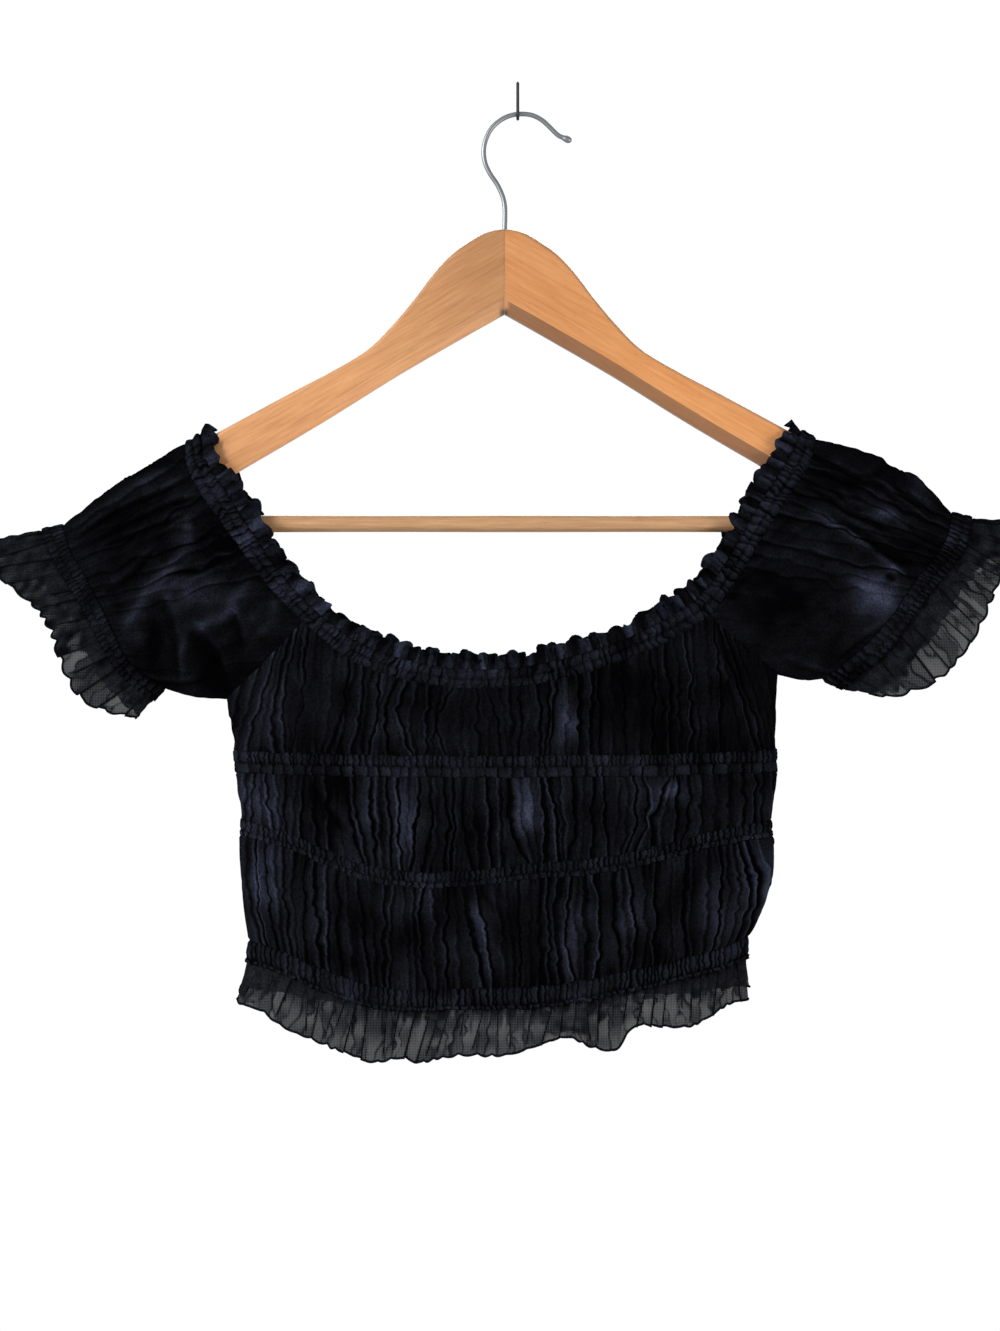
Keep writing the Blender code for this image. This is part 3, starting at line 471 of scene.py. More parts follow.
# the same number of evenly spaced columns on rings whose points belong together
def resample(rings, columns, extra=()):
    middle = sum(ring[0] for ring in rings) / len(rings)
    looped = np.concatenate([middle, middle[:1]])
    length = np.concatenate([[0], np.cumsum(np.linalg.norm(np.diff(looped, axis=0), axis=1))])
    places = np.linspace(0, length[-1], columns, endpoint=False)

    def spread(values):
        values = np.concatenate([values, values[:1]])
        return np.stack([np.interp(places, length, values[:, i]) for i in range(values.shape[1])], axis=1)

    made = [(spread(points), unit(spread(normals))) for points, normals in rings]
    return made, places, [np.interp(places, length, np.append(values, values[-1])) for values in extra]


# closed line round a cuff: pair 0 is the casing's inner edge, 1 its outer edge, 2 the frill's edge
def cuffRing(hand, shares, pair, depth):
    rows = cuffRows[hand]

    def at(share):
        values = along(rows, share * (len(rows) - 1))
        return np.array([values[2 * pair], 0.0, values[2 * pair + 1]])

    under = unit(np.array([0.3 * hand, 0.0, -1.0]))
    points, normals = overTop(at(0.0), unit(at(0.08) - at(0.0)), armUp(hand))
    for share in shares:
        flat = at(share)
        flat[1] = -mix(wrapY, depth, math.sin(math.pi / 2 * min(1.0, 2 * share)))
        flat[1] *= math.sqrt(max(0.0, 1 - share ** 8))
        points.append(flat)
        normals.append(unit(mix(np.array([0, -1.0, 0]), under, share ** 12)))
    return closeRing(np.array(points), np.array(normals))


# sleeve's upper edge: over the arm, down the neck casing, down the raglan seam to the armpit
def sleeveStart(hand):
    points, normals = neckHalf(hand, 0.05)  # just under the neck casing
    corner = neckRows[leftCorner if hand < 0 else rightCorner]
    x, z = raglanLine(hand)
    x, z = np.append(corner[0], x[::-1][1:]), np.append(corner[1], z[::-1][1:])
    lower, lowerNormals = topPoints(x, z)
    lower[-1, 1] = 0.0
    lower[1:-1] += np.array([-0.9 * hand, 0.5, -0.5])
    points = np.concatenate([points, lower])
    normals = np.concatenate([normals, lowerNormals])
    length = np.concatenate([[0], np.cumsum(np.linalg.norm(np.diff(points, axis=0), axis=1))])
    bend = length[wrapPoints - 1]
    shares = (length[wrapPoints:] - bend) / (length[-1] - bend)
    return points, normals, shares


# gathers: ridges of cloth packed side by side, with sharp creases between them

# where each crease runs at the heights v; wander bends it, a little more in the middle
def creaseRows(table, v, wander, dice):
    table = np.array(table, float)
    top, middle, bottom = table[:, 0:1], table[:, 1:2], table[:, 2:3]
    place = top * (1 - v) * (1 - 2 * v) + middle * 4 * v * (1 - v) + bottom * v * (2 * v - 1)
    phase = dice.uniform(0, 2 * np.pi, (len(table), 2))
    speed = dice.uniform(0.8, 2.2, (len(table), 2))
    bend = np.sin(2 * np.pi * speed[:, 0:1] * v + phase[:, 0:1])
    bend = bend + 0.5 * np.sin(4 * np.pi * speed[:, 1:2] * v + phase[:, 1:2])
    place = place + wander * bend * swell(v, 0.7)
    return np.maximum.accumulate(place, axis=0).T  # rows by creases


# heights from 0 to about 1 of packed ridges over a grid; across is in mm along the width. Where crisp is
# given, in mm, the ridges' tone comes back too: painted shade in the creases and painted highlights on the
# rims beside them. A crease deeper than 1 in the table has a wide painted shadow on one side.
def packedRidges(across, v, table, dice, wander=0.8, fullWidth=9.0, sharp=2.4, crisp=None):
    places = creaseRows(table, v[None, :], wander, dice)
    depths = np.array(table, float)[:, 3]
    count = len(depths)
    skew = 2.0 ** dice.uniform(-0.8, 0.8, count)
    tall = dice.uniform(0.75, 1.0, count)
    pace = dice.uniform(0.5, 1.6, count)
    phase = dice.uniform(0, 2 * np.pi, count)
    rimSide = dice.uniform(0, 1, count) < 0.25
    rimSize = dice.uniform(0.2, 1.0, count)
    shadow = np.where(depths > 1, 3.6, 1.0 + 2.6 * dice.uniform(0, 1, count) ** 2.2)
    depths = np.minimum(depths, 1.0)
    made = [np.zeros_like(across) for part in range(3)]
    for row in range(across.shape[0]):
        knots = places[row]
        index = np.clip(np.searchsorted(knots, across[row]) - 1, 0, count - 2)
        width = np.maximum(knots[index + 1] - knots[index], 0.4)
        t = np.clip((across[row] - knots[index]) / width, 0, 1) ** skew[index]
        size = np.minimum(1.0, width / fullWidth) ** 0.7 * tall[index]
        size = size * (0.85 + 0.15 * np.sin(2 * np.pi * pace[index] * v[row] + phase[index]))
        depth = mix(depths[index], depths[index + 1], t)
        shape = 1 - np.abs(2 * t - 1) ** sharp
        made[0][row] = size * (shape + (1 - shape) * (1 - depth))
        if crisp is None:
            continue
        before, after = across[row] - knots[index], knots[index + 1] - across[row]
        wide = np.minimum(crisp * shadow[index], np.maximum(0.55 * width, crisp))
        # painted shade: dark down in each crease, wider on the side past a deep one
        shut = smoothStep(0.15, crisp, after) * smoothStep(0, 1, before / wide)
        bold = depth ** 1.7
        made[1][row] = (1 - bold * (1 - shut)) * (0.6 + 0.6 * t) * (0.75 + 0.25 * size)
        # painted highlight: a thin pale line beside the crease
        rim = np.where(rimSide[index], before, after) - crisp - 0.35
        made[2][row] = np.exp(-(rim / 0.55) ** 2) * rimSize[index] * bold * np.clip(width / 3, 0, 1)
    return made[0] if crisp is None else made


# uneven creases about a pitch apart, for sides that the front doesn't show and for fine ribs
def randomCreases(start, end, pitch, dice, depth=(0.6, 1.0), lean=0.0):
    place, rows = start, []
    while place < end:
        shift = dice.normal(0, lean, 2) if lean else (0.0, 0.0)
        rows.append((place, place + shift[0], place + shift[1], dice.uniform(*depth)))
        place += pitch * dice.uniform(0.6, 1.5)
    rows.append((end, end, end, 1.0))
    return rows


def fillCreases(table, dice, gap=9.5):  # adds softer creases where the listed ones lie wide apart
    rows = [tuple(row) for row in table]
    made = []
    for before, after in zip(rows, rows[1:]):
        made.append(before)
        parts = int((after[1] - before[1]) / gap)
        for part in range(1, parts + 1):
            share = part / (parts + 1) + dice.uniform(-0.1, 0.1) / (parts + 1)
            made.append(tuple(mix(before[i], after[i], share) for i in range(3)) + (dice.uniform(0.15, 0.6),))
    made.append(rows[-1])
    return made


# points, outward directions and heights v between two seam lines, with nothing raised yet
def clothGrid(upper, lower, rows):
    v = np.linspace(0, 1, rows)
    share = v[:, None, None]
    normals = unit(mix(upper[1][None], lower[1][None], share))
    points = mix(upper[0][None], lower[0][None], share)
    return points, normals, v


def settle(points, normals, height):
    return points + normals * height[..., None] + np.array([0, hangY, 0])


# carries a grid's edges on under the casings beside them, so that no gap shows between the pieces
def tuck(points, height, reach=3.0, ends=(0, -1)):
    for end in ends:
        inner = 1 if end == 0 else -2
        points[end] += unit(points[end] - points[inner]) * reach
        height[end] = -0.3


def closeSides(points, side):  # laps the front and back over one another at the side seams
    lap = 0.9 if side == front else -0.9
    points[:, 0] += (0.3, lap, 0.0)
    points[:, -1] += (-0.3, lap, 0.0)


def deepen(fold, power):  # more contrast: tones under 0.35 go darker, those above it lighter
    return 0.35 * (np.clip(fold, 0, 1) / 0.35) ** power


# how strongly a gather shows at each height: some at the stitched ends, most between them
def pucker(v, size):
    return size + (1 - size) * swell(v, 0.4)


# soft noise about 1 high, made of waves of about one length in all directions
def lumps(x, z, size, dice, count=26):
    total = np.zeros_like(x)
    for turn in dice.uniform(0, math.pi, count):
        length, phase = dice.uniform(0.7, 1.6) * size, dice.uniform(0, 2 * math.pi)
        total += np.sin((x * math.cos(turn) + z * math.sin(turn)) * 2 * math.pi / length + phase)
    return total / math.sqrt(count)


def softTone(x, z, areas):  # broad swellings (above 0) and hollows (below 0) of the hanging cloth
    tone = np.zeros_like(x)
    for middleX, middleZ, halfWidth, halfHeight, amount in areas:
        reach = ((x - middleX) / halfWidth) ** 2 + ((z - middleZ) / halfHeight) ** 2
        tone += amount * np.exp(-reach)
    return tone


# 1 on a smooth route, falling off to both sides and towards its ends
def nearRoute(x, z, route, width, sharpness):
    steps = np.array([along(route, p) for p in np.linspace(0, len(route) - 1, 12 * (len(route) - 1) + 1)])
    nearest = np.full_like(x, 1e9)
    ends = np.zeros_like(x)
    for index, (stepX, stepZ) in enumerate(steps):
        distance = (x - stepX) ** 2 + (z - stepZ) ** 2
        closer = distance < nearest
        nearest = np.where(closer, distance, nearest)
        ends = np.where(closer, min(index, len(steps) - 1 - index) / (0.3 * len(steps)), ends)
    taper = np.clip(0.35 + ends, 0, 1)
    return taper * np.exp(-(nearest / (width * taper) ** 2) ** sharpness)


# single folds, listed one by one: ridges (above 0) and creases (below 0), a crease with a raised upper lip
def foldRelief(x, z, folds):
    relief = np.zeros_like(x)
    for amount, width, *route in folds:
        if amount > 0:
            relief += 0.85 * amount * nearRoute(x, z, route, 1.3 * width, 1.0)
        else:
            relief += amount * nearRoute(x, z, route, 0.8 * width, 0.6)
        if amount < 0:
            lip = [(px + 0.5 * width, pz + 1.7 * width) for px, pz in route]
            relief -= 0.5 * amount * nearRoute(x, z, lip, width, 1.0)
    return relief


# swellings with painted light and hollows with painted shade of the front: x, z, half width, half height,
# amount
bodyAreas = [
    (-143.6, -362, 14, 24, 0.5), (-124, -372, 8, 20, -0.9), (-75, -369, 14, 20, 0.4),
    (-26.6, -372, 20, 18, -0.4), (28.6, -372, 9, 17, 1.0), (64, -365, 26, 24, -0.4),
    (103, -356, 7, 14, 0.25), (134, -359, 14, 26, -0.3), (-148, -419, 14, 16, 0.6),
    (-113, -414, 14, 18, -0.8), (-87, -430, 8, 22, 0.4), (-64, -428, 9, 22, 0.7), (-30, -430, 20, 22, -0.4),
    (4.2, -425, 8, 16, 1.1), (22, -421, 6, 12, 0.3), (48, -434, 16, 12, -0.4), (87, -414, 11, 6, 0.6),
    (122, -420, 20, 14, 0.0), (-143.6, -469, 14, 24, 0.6), (-114, -489, 10, 20, 0.5),
    (-90, -487, 11, 22, -0.5), (-62, -499, 10, 14, -0.4), (-52.6, -476, 8, 12, 0.5),
    (-20, -502, 9, 18, 0.7), (-34, -476, 9, 14, -0.7), (2.6, -494, 17, 25, -0.55), (30, -500, 8, 20, 0.5),
    (62.7, -488, 9, 20, 0.6), (87, -480, 14, 20, -0.25), (113, -482, 6, 18, 0.4), (138, -466, 13, 26, 0.9),
    (110, -490, 32, 28, 0.35), (20, -488, 40, 28, 0.15),
]
# single folds of the front that run across the gathers: amount, half width, route as x and z
bodyFolds = [
    (1.6, 2.6, (86, -406), (90, -413), (82, -418), (77, -428), (72, -438)),
    (1.4, 2.2, (113, -330), (118, -344), (127, -360), (136, -376), (140, -387)),
    (-1.5, 3.0, (-128, -352), (-124, -366), (-118, -384)),
    (-1.6, 3.2, (-122, -404), (-116, -416), (-108, -428), (-98, -438)),
    (1.3, 2.4, (-38, -462), (-30, -476), (-21, -490), (-14, -504)),
    (-1.2, 2.8, (-30, -462), (-20, -474), (-10, -486)),
]
sleeveAreas = {
    -1: [(-193, -262, 9, 13, 0.9), (-186, -298, 24, 12, 1.1), (-221, -322, 13, 14, 0.4),
         (-208.5, -323, 5, 17, -0.8), (-178, -338, 7, 14, -1.5), (-222, -263, 28, 12, -0.5),
         (-208, -237, 22, 6, 0.5), (-151, -314, 7, 14, 0.4), (-228, -290, 12, 14, -0.3),
         (-186, -354, 14, 5, 0.5)],
    1: [(206, -301, 15, 14, 1.3), (216, -277, 18, 8, -0.8), (211, -255, 12, 4, 0.8),
        (150, -307, 30, 26, -0.15), (190, -237, 12, 6, -0.7), (226, -236, 18, 5, 0.5),
        (180, -228, 12, 4, -0.4), (186, -330, 16, 10, -0.3)],
}
sleeveFolds = {
    -1: [(-1.8, 3.0, (-194, -219), (-214, -228), (-243, -245), (-260, -257)),
         (1.2, 3.2, (-195, -226), (-218, -236), (-243, -252), (-257, -265)),
         (-1.8, 2.2, (-190, -235), (-209, -244), (-235, -256), (-259, -272)),
         (-1.8, 2.2, (-186, -246), (-201, -250), (-226, -262), (-253, -275)),
         (-1.4, 2.2, (-193, -256), (-216, -266), (-237, -273)),
         (-1.0, 1.8, (-184, -266), (-199, -265), (-210, -271)),
         (-1.8, 3.0, (-210, -277), (-224, -293), (-237, -300)),
         (-1.2, 1.6, (-166, -280), (-182, -286), (-203, -291)),
         (-0.8, 1.5, (-170, -268), (-178, -267), (-186, -271)),
         (1.6, 3.6, (-190, -258), (-189, -275), (-205, -291), (-220, -312), (-227, -321)),
         (-1.6, 3.4, (-204, -304), (-198, -321), (-195, -348)),
         (1.6, 2.2, (-189, -323), (-192, -337), (-193, -348)),
         (-2.6, 4.2, (-187, -324), (-178, -333), (-171, -346), (-168, -359)),
         (1.6, 3.6, (-155, -295), (-166, -312), (-186, -321)),
         (-1.4, 2.6, (-163, -312), (-160, -321), (-157, -333)),
         (1.2, 2.4, (-142, -302), (-139, -314), (-149, -325)),
         (-1.5, 1.6, (-230, -341), (-218, -350), (-191, -352), (-176, -348))],
    1: [(1.6, 2.4, (177, -210), (193, -213), (211, -224), (229, -240), (244, -251)),
        (-1.7, 1.7, (175, -216), (193, -219), (208, -226), (226, -243), (242, -256)),
        (-1.7, 1.7, (172, -227), (184, -228), (197, -234), (211, -233), (224, -244), (240, -258)),
        (-1.6, 1.7, (171, -231), (182, -232), (195, -238), (206, -237), (218, -247), (236, -260)),
        (-1.2, 2.2, (184, -242), (191, -251), (200, -253)),
        (-1.2, 1.8, (167, -239), (179, -246), (190, -254), (204, -260), (229, -271)),
        (1.2, 1.8, (205, -252), (215, -256), (226, -265)),
        (2.2, 2.4, (166, -251), (179, -259), (197, -271), (215, -284), (224, -291)),
        (-1.8, 2.6, (181, -256), (200, -268), (217, -280), (229, -283)),
        (-2.0, 2.4, (212, -290), (217, -293)), (-0.9, 2.0, (132, -283), (147, -268), (161, -253)),
        (-0.8, 1.6, (154, -271), (170, -261), (177, -262)),
        (-0.8, 2.2, (120, -307), (129, -294), (147, -280)),
        (-1.8, 2.2, (186, -338), (200, -327), (215, -317), (223, -301)),
        (-1.1, 1.8, (152, -339), (168, -344), (186, -349)),
        (1.4, 4.5, (190, -292), (206, -300), (218, -310))],
}
# creases of the front tiers, from left to right: x at the top, middle and bottom of the tier, depth
frontCreases = dict(
    upper=[
        (-171, -171, -171, 0.5), (-149, -158, -163, 0.5), (-139.3, -150, -156.2, 1.0),
        (-136, -145, -149, 0.3), (-131.4, -140, -139.9, 1.3), (-126, -134, -134, 1.3),
        (-120.5, -124, -131, 0.9), (-117, -120, -126, 0.2), (-113, -114, -117, 0.3),
        (-97.2, -100, -109.8, 1.3), (-94, -98, -104, 0.7), (-88.7, -90, -96.1, 1.0), (-84, -87, -90, 0.6),
        (-79.3, -81, -86, 1.0), (-75, -79, -79, 0.5), (-69.8, -75.5, -74, 1.0), (-63.4, -67.7, -60.3, 1.0),
        (-57, -61, -58.4, 0.5), (-50.8, -51.6, -52.9, 1.3), (-44, -47, -49, 0.7), (-37, -46, -41.3, 1.0),
        (-30, -33, -32, 0.4), (-23.4, -22.6, -22.3, 1.3), (-18, -12, -9.7, 0.9), (-12, -7, -6, 0.6),
        (-5, -3.5, -4, 0.8), (1.2, 1.6, 0.1, 1.0), (10.7, 12.6, 12.8, 1.3), (17.5, 17.4, 14.9, 1.0),
        (22.5, 19.6, 18.0, 1.0), (34.9, 35.2, 34.9, 1.3), (42.3, 42.3, 42.0, 1.0), (46.5, 46.2, 47.0, 1.0),
        (53, 54, 54, 0.35), (59.2, 61.0, 62.3, 0.8), (68, 69.5, 70, 0.35), (76.0, 77.2, 77.6, 0.9),
        (80, 81.5, 83, 0.5), (84.5, 86.5, 87.6, 0.9), (96.0, 99.5, 99.0, 1.0), (99.5, 103, 104, 0.6),
        (107, 109, 109, 0.4), (113, 116, 117, 0.9), (114.6, 128, 138.2, 1.0), (118, 133, 142, 0.8),
        (130, 143, 147, 0.4), (153, 153, 153, 0.5)],
    middle=[
        (-167, -167, -167, 0.5), (-158, -158, -159, 0.5), (-152.5, -153.5, -154.6, 0.8),
        (-145.3, -143.5, -141.2, 0.9), (-139, -138, -137.5, 0.5), (-134, -134.5, -134, 0.8),
        (-128, -128.5, -130, 0.4), (-123.7, -124.2, -124.8, 1.0), (-116.5, -116.8, -115.5, 0.9),
        (-110.4, -109.2, -108.3, 0.9), (-100, -96.5, -88.8, 1.0), (-95, -91.5, -86.0, 0.7),
        (-84.7, -83.6, -81.6, 1.3), (-75.4, -73.6, -72.3, 1.0), (-69.2, -68.4, -66.5, 0.9),
        (-63.8, -63.5, -64.2, 0.4), (-56.9, -57.9, -62.0, 1.0), (-51.2, -50.0, -55.4, 1.3),
        (-47, -46.5, -50.5, 0.5), (-42.5, -41.0, -42.5, 0.9), (-37.4, -37.2, -38.4, 1.0),
        (-30.2, -31.0, -26.0, 0.9), (-24.5, -24.0, -22.0, 0.6), (-17.8, -16.8, -14.7, 1.0),
        (-10.5, -10.0, -9.0, 0.5), (-5.2, -4.2, 6.0, 1.3), (13.2, 15.2, 14.9, 1.3), (17.0, 22.0, 23.3, 0.9),
        (23.5, 25.0, 26.0, 0.5), (30.7, 32.3, 28.6, 1.3), (37, 37, 36, 0.3), (43.4, 43.0, 42.3, 1.0),
        (49.7, 50.4, 51.8, 1.0), (58, 57, 56, 0.4), (66.0, 67.6, 62.3, 1.0), (71.5, 74.0, 67.0, 0.8),
        (88.0, 78.5, 76.8, 1.3), (91.8, 91.2, 90.0, 0.9), (98.2, 98.2, 95.0, 0.8), (105, 105, 104, 0.35),
        (113, 113, 113, 0.45), (121, 121, 121, 0.35), (129, 129.5, 129, 0.5), (137.0, 137.0, 136.0, 0.9),
        (142, 141, 141, 0.6), (153, 153, 153, 0.5)],
    lower=[
        (-167, -167, -167, 0.5), (-157, -154.5, -149, 0.6), (-151.5, -149.0, -144.8, 1.0),
        (-145.8, -142.5, -138.7, 1.0), (-140, -137, -135, 0.5), (-135.5, -133, -130.5, 0.8),
        (-129, -128, -127, 0.5), (-122.4, -122.0, -122.4, 0.9), (-117.3, -115.0, -113.2, 1.0),
        (-109.5, -108.4, -108, 0.7), (-104.0, -102.3, -101.0, 1.3), (-98, -96, -94, 0.4),
        (-91.9, -88.0, -84.8, 1.0), (-84, -82.5, -81, 0.4), (-76.1, -76.3, -76.6, 1.3),
        (-71.0, -72.0, -73.5, 0.8), (-66, -63.5, -62, 0.4), (-60.0, -58.5, -58.0, 0.7),
        (-54.2, -55.3, -51.2, 1.0), (-49.0, -47.0, -46.5, 0.6), (-40.0, -41.0, -40.0, 1.0),
        (-36.5, -34, -33.0, 0.5), (-31.9, -26.0, -19.7, 1.3), (-24, -18, -14, 0.9), (-14, -9, -7, 0.3),
        (0.0, 0.8, 1.0, 0.8), (6, 6.5, 7, 0.4), (12.4, 12.6, 12.4, 1.0), (17.6, 17.4, 18.6, 1.0),
        (23.8, 20.7, 24.8, 1.3), (31.0, 27.6, 33.1, 1.0), (37, 38.0, 38.0, 0.7), (43.5, 46.6, 44.5, 1.0),
        (54.8, 55.0, 60.0, 1.3), (63.1, 66.2, 65.2, 1.0), (71, 72, 72, 0.35), (79.7, 77.8, 78.7, 0.9),
        (88, 86.5, 88, 0.3), (97.3, 93.5, 97.3, 1.0), (101, 98, 101, 0.5), (109, 107, 106, 0.4),
        (115.9, 115.0, 111.8, 1.3), (120.5, 119.0, 116, 0.6), (127.3, 129.4, 125.3, 0.9),
        (131.5, 134.0, 131.0, 1.0), (139, 140, 136, 0.4), (153, 153, 153, 0.5)],
)
tierSettings = dict(
    height=4.2, lift=-1.6,  # mm: the ridges' height, and how far the whole tier is raised between its seams
    wander=0.7, warp=0.6, small=0.4,  # mm, how the creases bend
    ridgeWidth=8.0, sharp=1.9, crisp=1.15, paintedHighlights=1.5,
    backPitch=6.6, finePitch=2.6,
    puff=dict(upper=4.0, middle=4.0, lower=6.0),  # mm in the middle, then shares of it at the side seams
    sidePuff=dict(upper=(0.1, 0.1), middle=(0.1, 0.3), lower=(0.5, 1.25)),
    tone=dict(upper=0.176, middle=0.245, lower=0.206), contrast=1.55,
    columns={front: 680, back: 500}, rowPitch=1.15,
)


def tier(name, level, upperLine, lowerLine, side, seed):  # gathered panel between two casings
    s = tierSettings
    dice = np.random.default_rng(seed)
    turns = evenTurns(s["columns"][side])
    upper = topEdge(turns, side) if upperLine == "top" else bodyLine(upperLine, turns, side)
    lower = bodyLine(lowerLine, turns, side)
    drop = np.abs(upper[0][:, 2] - lower[0][:, 2]).max()
    points, normals, v = clothGrid(upper, lower, int(drop / s["rowPitch"]))
    x, z = points[..., 0], points[..., 2]
    bend = s["warp"] * lumps(0.5 * x, z, 11, dice) + s["small"] * lumps(0.5 * x, z, 5, dice)
    across = x + bend * swell(v, 0.5)[:, None]
    if side == front:
        table = fillCreases(frontCreases[level], dice)
    else:
        table = randomCreases(*bodyEnds, s["backPitch"], dice, (0.35, 1.0), 1.6)
    ridges, plateaus, paintedHighlights = packedRidges(
        across, v, table, dice, s["wander"], s["ridgeWidth"], s["sharp"], s["crisp"])
    fineTable = randomCreases(*bodyEnds, s["finePitch"], dice, (0.2, 0.8), 0.5)
    small = packedRidges(across, v, fineTable, dice, 0.3, 3.0, 2.0)
    broad = softTone(x, z, bodyAreas) if side == front else 0.6 * lumps(x, 0.5 * z, 40, dice)
    single = foldRelief(x, z, bodyFolds) if side == front else 0 * x
    leftShare, rightShare = s["sidePuff"][level]
    edgeShare = np.where(turns < math.pi / 2, leftShare, rightShare)
    share = mix(edgeShare, 1.0, np.sin(turns))
    puff = s["puff"][level] * swell(v, 0.6)[:, None] * share[None, :]
    strength = pucker(v, 0.4)[:, None] * mix(0.55, 1.0, np.sin(turns) ** 0.5)[None, :]
    slack = swell(v, 0.5)[:, None] * np.sin(turns)[None, :]
    height = puff + s["lift"] * swell(v, 0.5)[:, None] + s["height"] * ridges * strength + 0.3 * small
    height += (1.4 * broad + single + 0.45 * lumps(x, z, 8, dice)) * slack
    ends = np.exp(-np.minimum(v, 1 - v) * drop / 3.5)[:, None]
    height = height + ends * 1.1 * small
    # painted light on the swellings and single ridges, painted shade in the hollows and creases, painted
    # highlights on the creases' rims, with some random tone
    tone = s["tone"][level] * np.exp(1.3 * broad + 0.4 * single + 0.2 * lumps(x, 0.6 * z, 18, dice))
    shade = np.clip(plateaus, 0, 1.3) * (1 + s["paintedHighlights"] * paintedHighlights) - 0.1
    fold = deepen(shade * tone + (0.05 + 0.22 * ends) * (small - 0.6), s["contrast"])
    tuck(points, height)
    closeSides(points, side)
    made = addMesh(name + "_gauze", settle(points, normals, height), fold, False, cottonGauze)
    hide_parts(name)


tier("front_upper", "upper", "top", "bustTop", front, 11)
tier("front_middle", "middle", "bustBottom", "waistTop", front, 12)
tier("front_lower", "lower", "waistBottom", "hemTop", front, 13)
tier("back_upper", "upper", "top", "bustTop", back, 14)
tier("back_middle", "middle", "bustBottom", "waistTop", back, 15)
tier("back_lower", "lower", "waistBottom", "hemTop", back, 16)
print("gathered tiers made")


# elastic casings

casingSettings = dict(columns={front: 900, back: 640}, rows=15, rib=1.3, crisp=0.75, tone=0.33, contrast=1.45,
                      turnedIn=0.5)  # mm


# ribs of cloth gathered on elastic, held down by a row of stitching at each channel's ends
def bandHeight(across, v, channels, dice, rib, stitch=0.7):
    height = np.zeros_like(across)
    fold = np.zeros_like(across)
    start, end = across.min() - 4, across.max() + 4
    for low, high, pitch in channels:
        inside = (v >= low) & (v <= high)
        t = (v[inside] - low) / (high - low)
        dots = np.clip(0.75 + 0.5 * lumps(across[inside], 0 * across[inside], 5, dice), 0, 1)
        held = stitch * np.abs(2 * t - 1)[:, None] ** 5
        table = randomCreases(start, end, pitch, dice, (0.5, 1.0), 0.5)
        crisp = casingSettings["crisp"]
        ribs, flats, paintedHighlights = packedRidges(across[inside], t, table, dice, 0.35, pitch * 1.15, 2.0, crisp)
        height[inside] = (1 - held) * (0.5 + rib * ribs)
        # painted shade in dashes along each stitched row and in the creases between the ribs, painted
        # highlights beside them
        stitched = np.clip(1 - 1.35 * held * dots, 0, 1)
        fold[inside] = np.clip(stitched * (flats * (1 + 0.6 * paintedHighlights) - 0.15), 0, 1)
    return height, fold


def bodyCasing(name, upperLine, lowerLine, side, channels, seed):
    s = casingSettings
    dice = np.random.default_rng(seed)
    turns = evenTurns(s["columns"][side])
    upper, lower = bodyLine(upperLine, turns, side), bodyLine(lowerLine, turns, side)
    points, normals, v = clothGrid(upper, lower, s["rows"])
    x, z = points[..., 0], points[..., 2]
    height, fold = bandHeight(x, v, channels, dice, s["rib"])
    broad = softTone(x, z, bodyAreas) if side == front else 0
    # the front's painted light on its swellings and painted shade in its hollows carry on over the casing
    fold = deepen(s["tone"] * fold * np.exp(0.9 * broad + 0.2 * lumps(x, z, 20, dice)), s["contrast"])
    uneven = 0.45 * lumps(x, 0 * x, 16, dice) + 0.35 * lumps(x, 0 * x, 5, dice)
    points = points + np.stack([0 * x, 0 * x, uneven * (2 * np.abs(v - 0.5))[:, None]], axis=-1)
    closeSides(points, side)
    height[0] = height[-1] = -casingLift - s["turnedIn"]
    made = addMesh(name + "_gauze", settle(points, normals, casingLift + height), fold, False, gatheredGauze)
    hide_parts(name)


# each casing's stitched channels: from and to as shares of its height, mm between its ribs
bustChannels = [(0.0, 0.52, 2.9), (0.52, 1.0, 6.4)]
waistChannels = [(0.0, 0.62, 2.7), (0.62, 1.0, 3.8)]
hemChannels = [(0.0, 0.8, 2.8), (0.8, 1.0, 3.6)]
bodyCasing("bust_casing_front", "bustTop", "bustBottom", front, bustChannels, 21)
bodyCasing("bust_casing_back", "bustTop", "bustBottom", back, bustChannels, 22)
bodyCasing("waist_casing_front", "waistTop", "waistBottom", front, waistChannels, 23)
bodyCasing("waist_casing_back", "waistTop", "waistBottom", back, waistChannels, 24)
bodyCasing("hem_casing_front", "hemTop", "hemBottom", front, hemChannels, 25)
bodyCasing("hem_casing_back", "hemTop", "hemBottom", back, hemChannels, 26)
print("body casings made")


# neckline: casing and frill, all round over both arms

neckSettings = dict(
    columns=1500, casingRows=15, frillRows=14,
    casingShare=0.6,  # of the way from the casing's outer edge to the frill's free edge
    channel=3.6, rib=1.7, casingContrast=1.35,
    frillWave=2.6, frillCurl=2.0, edgeRise=1.9, frillPeriod=7.6,  # mm
    frillPitch=3.6, frillCrisp=0.8, frillContrast=1.3,
)


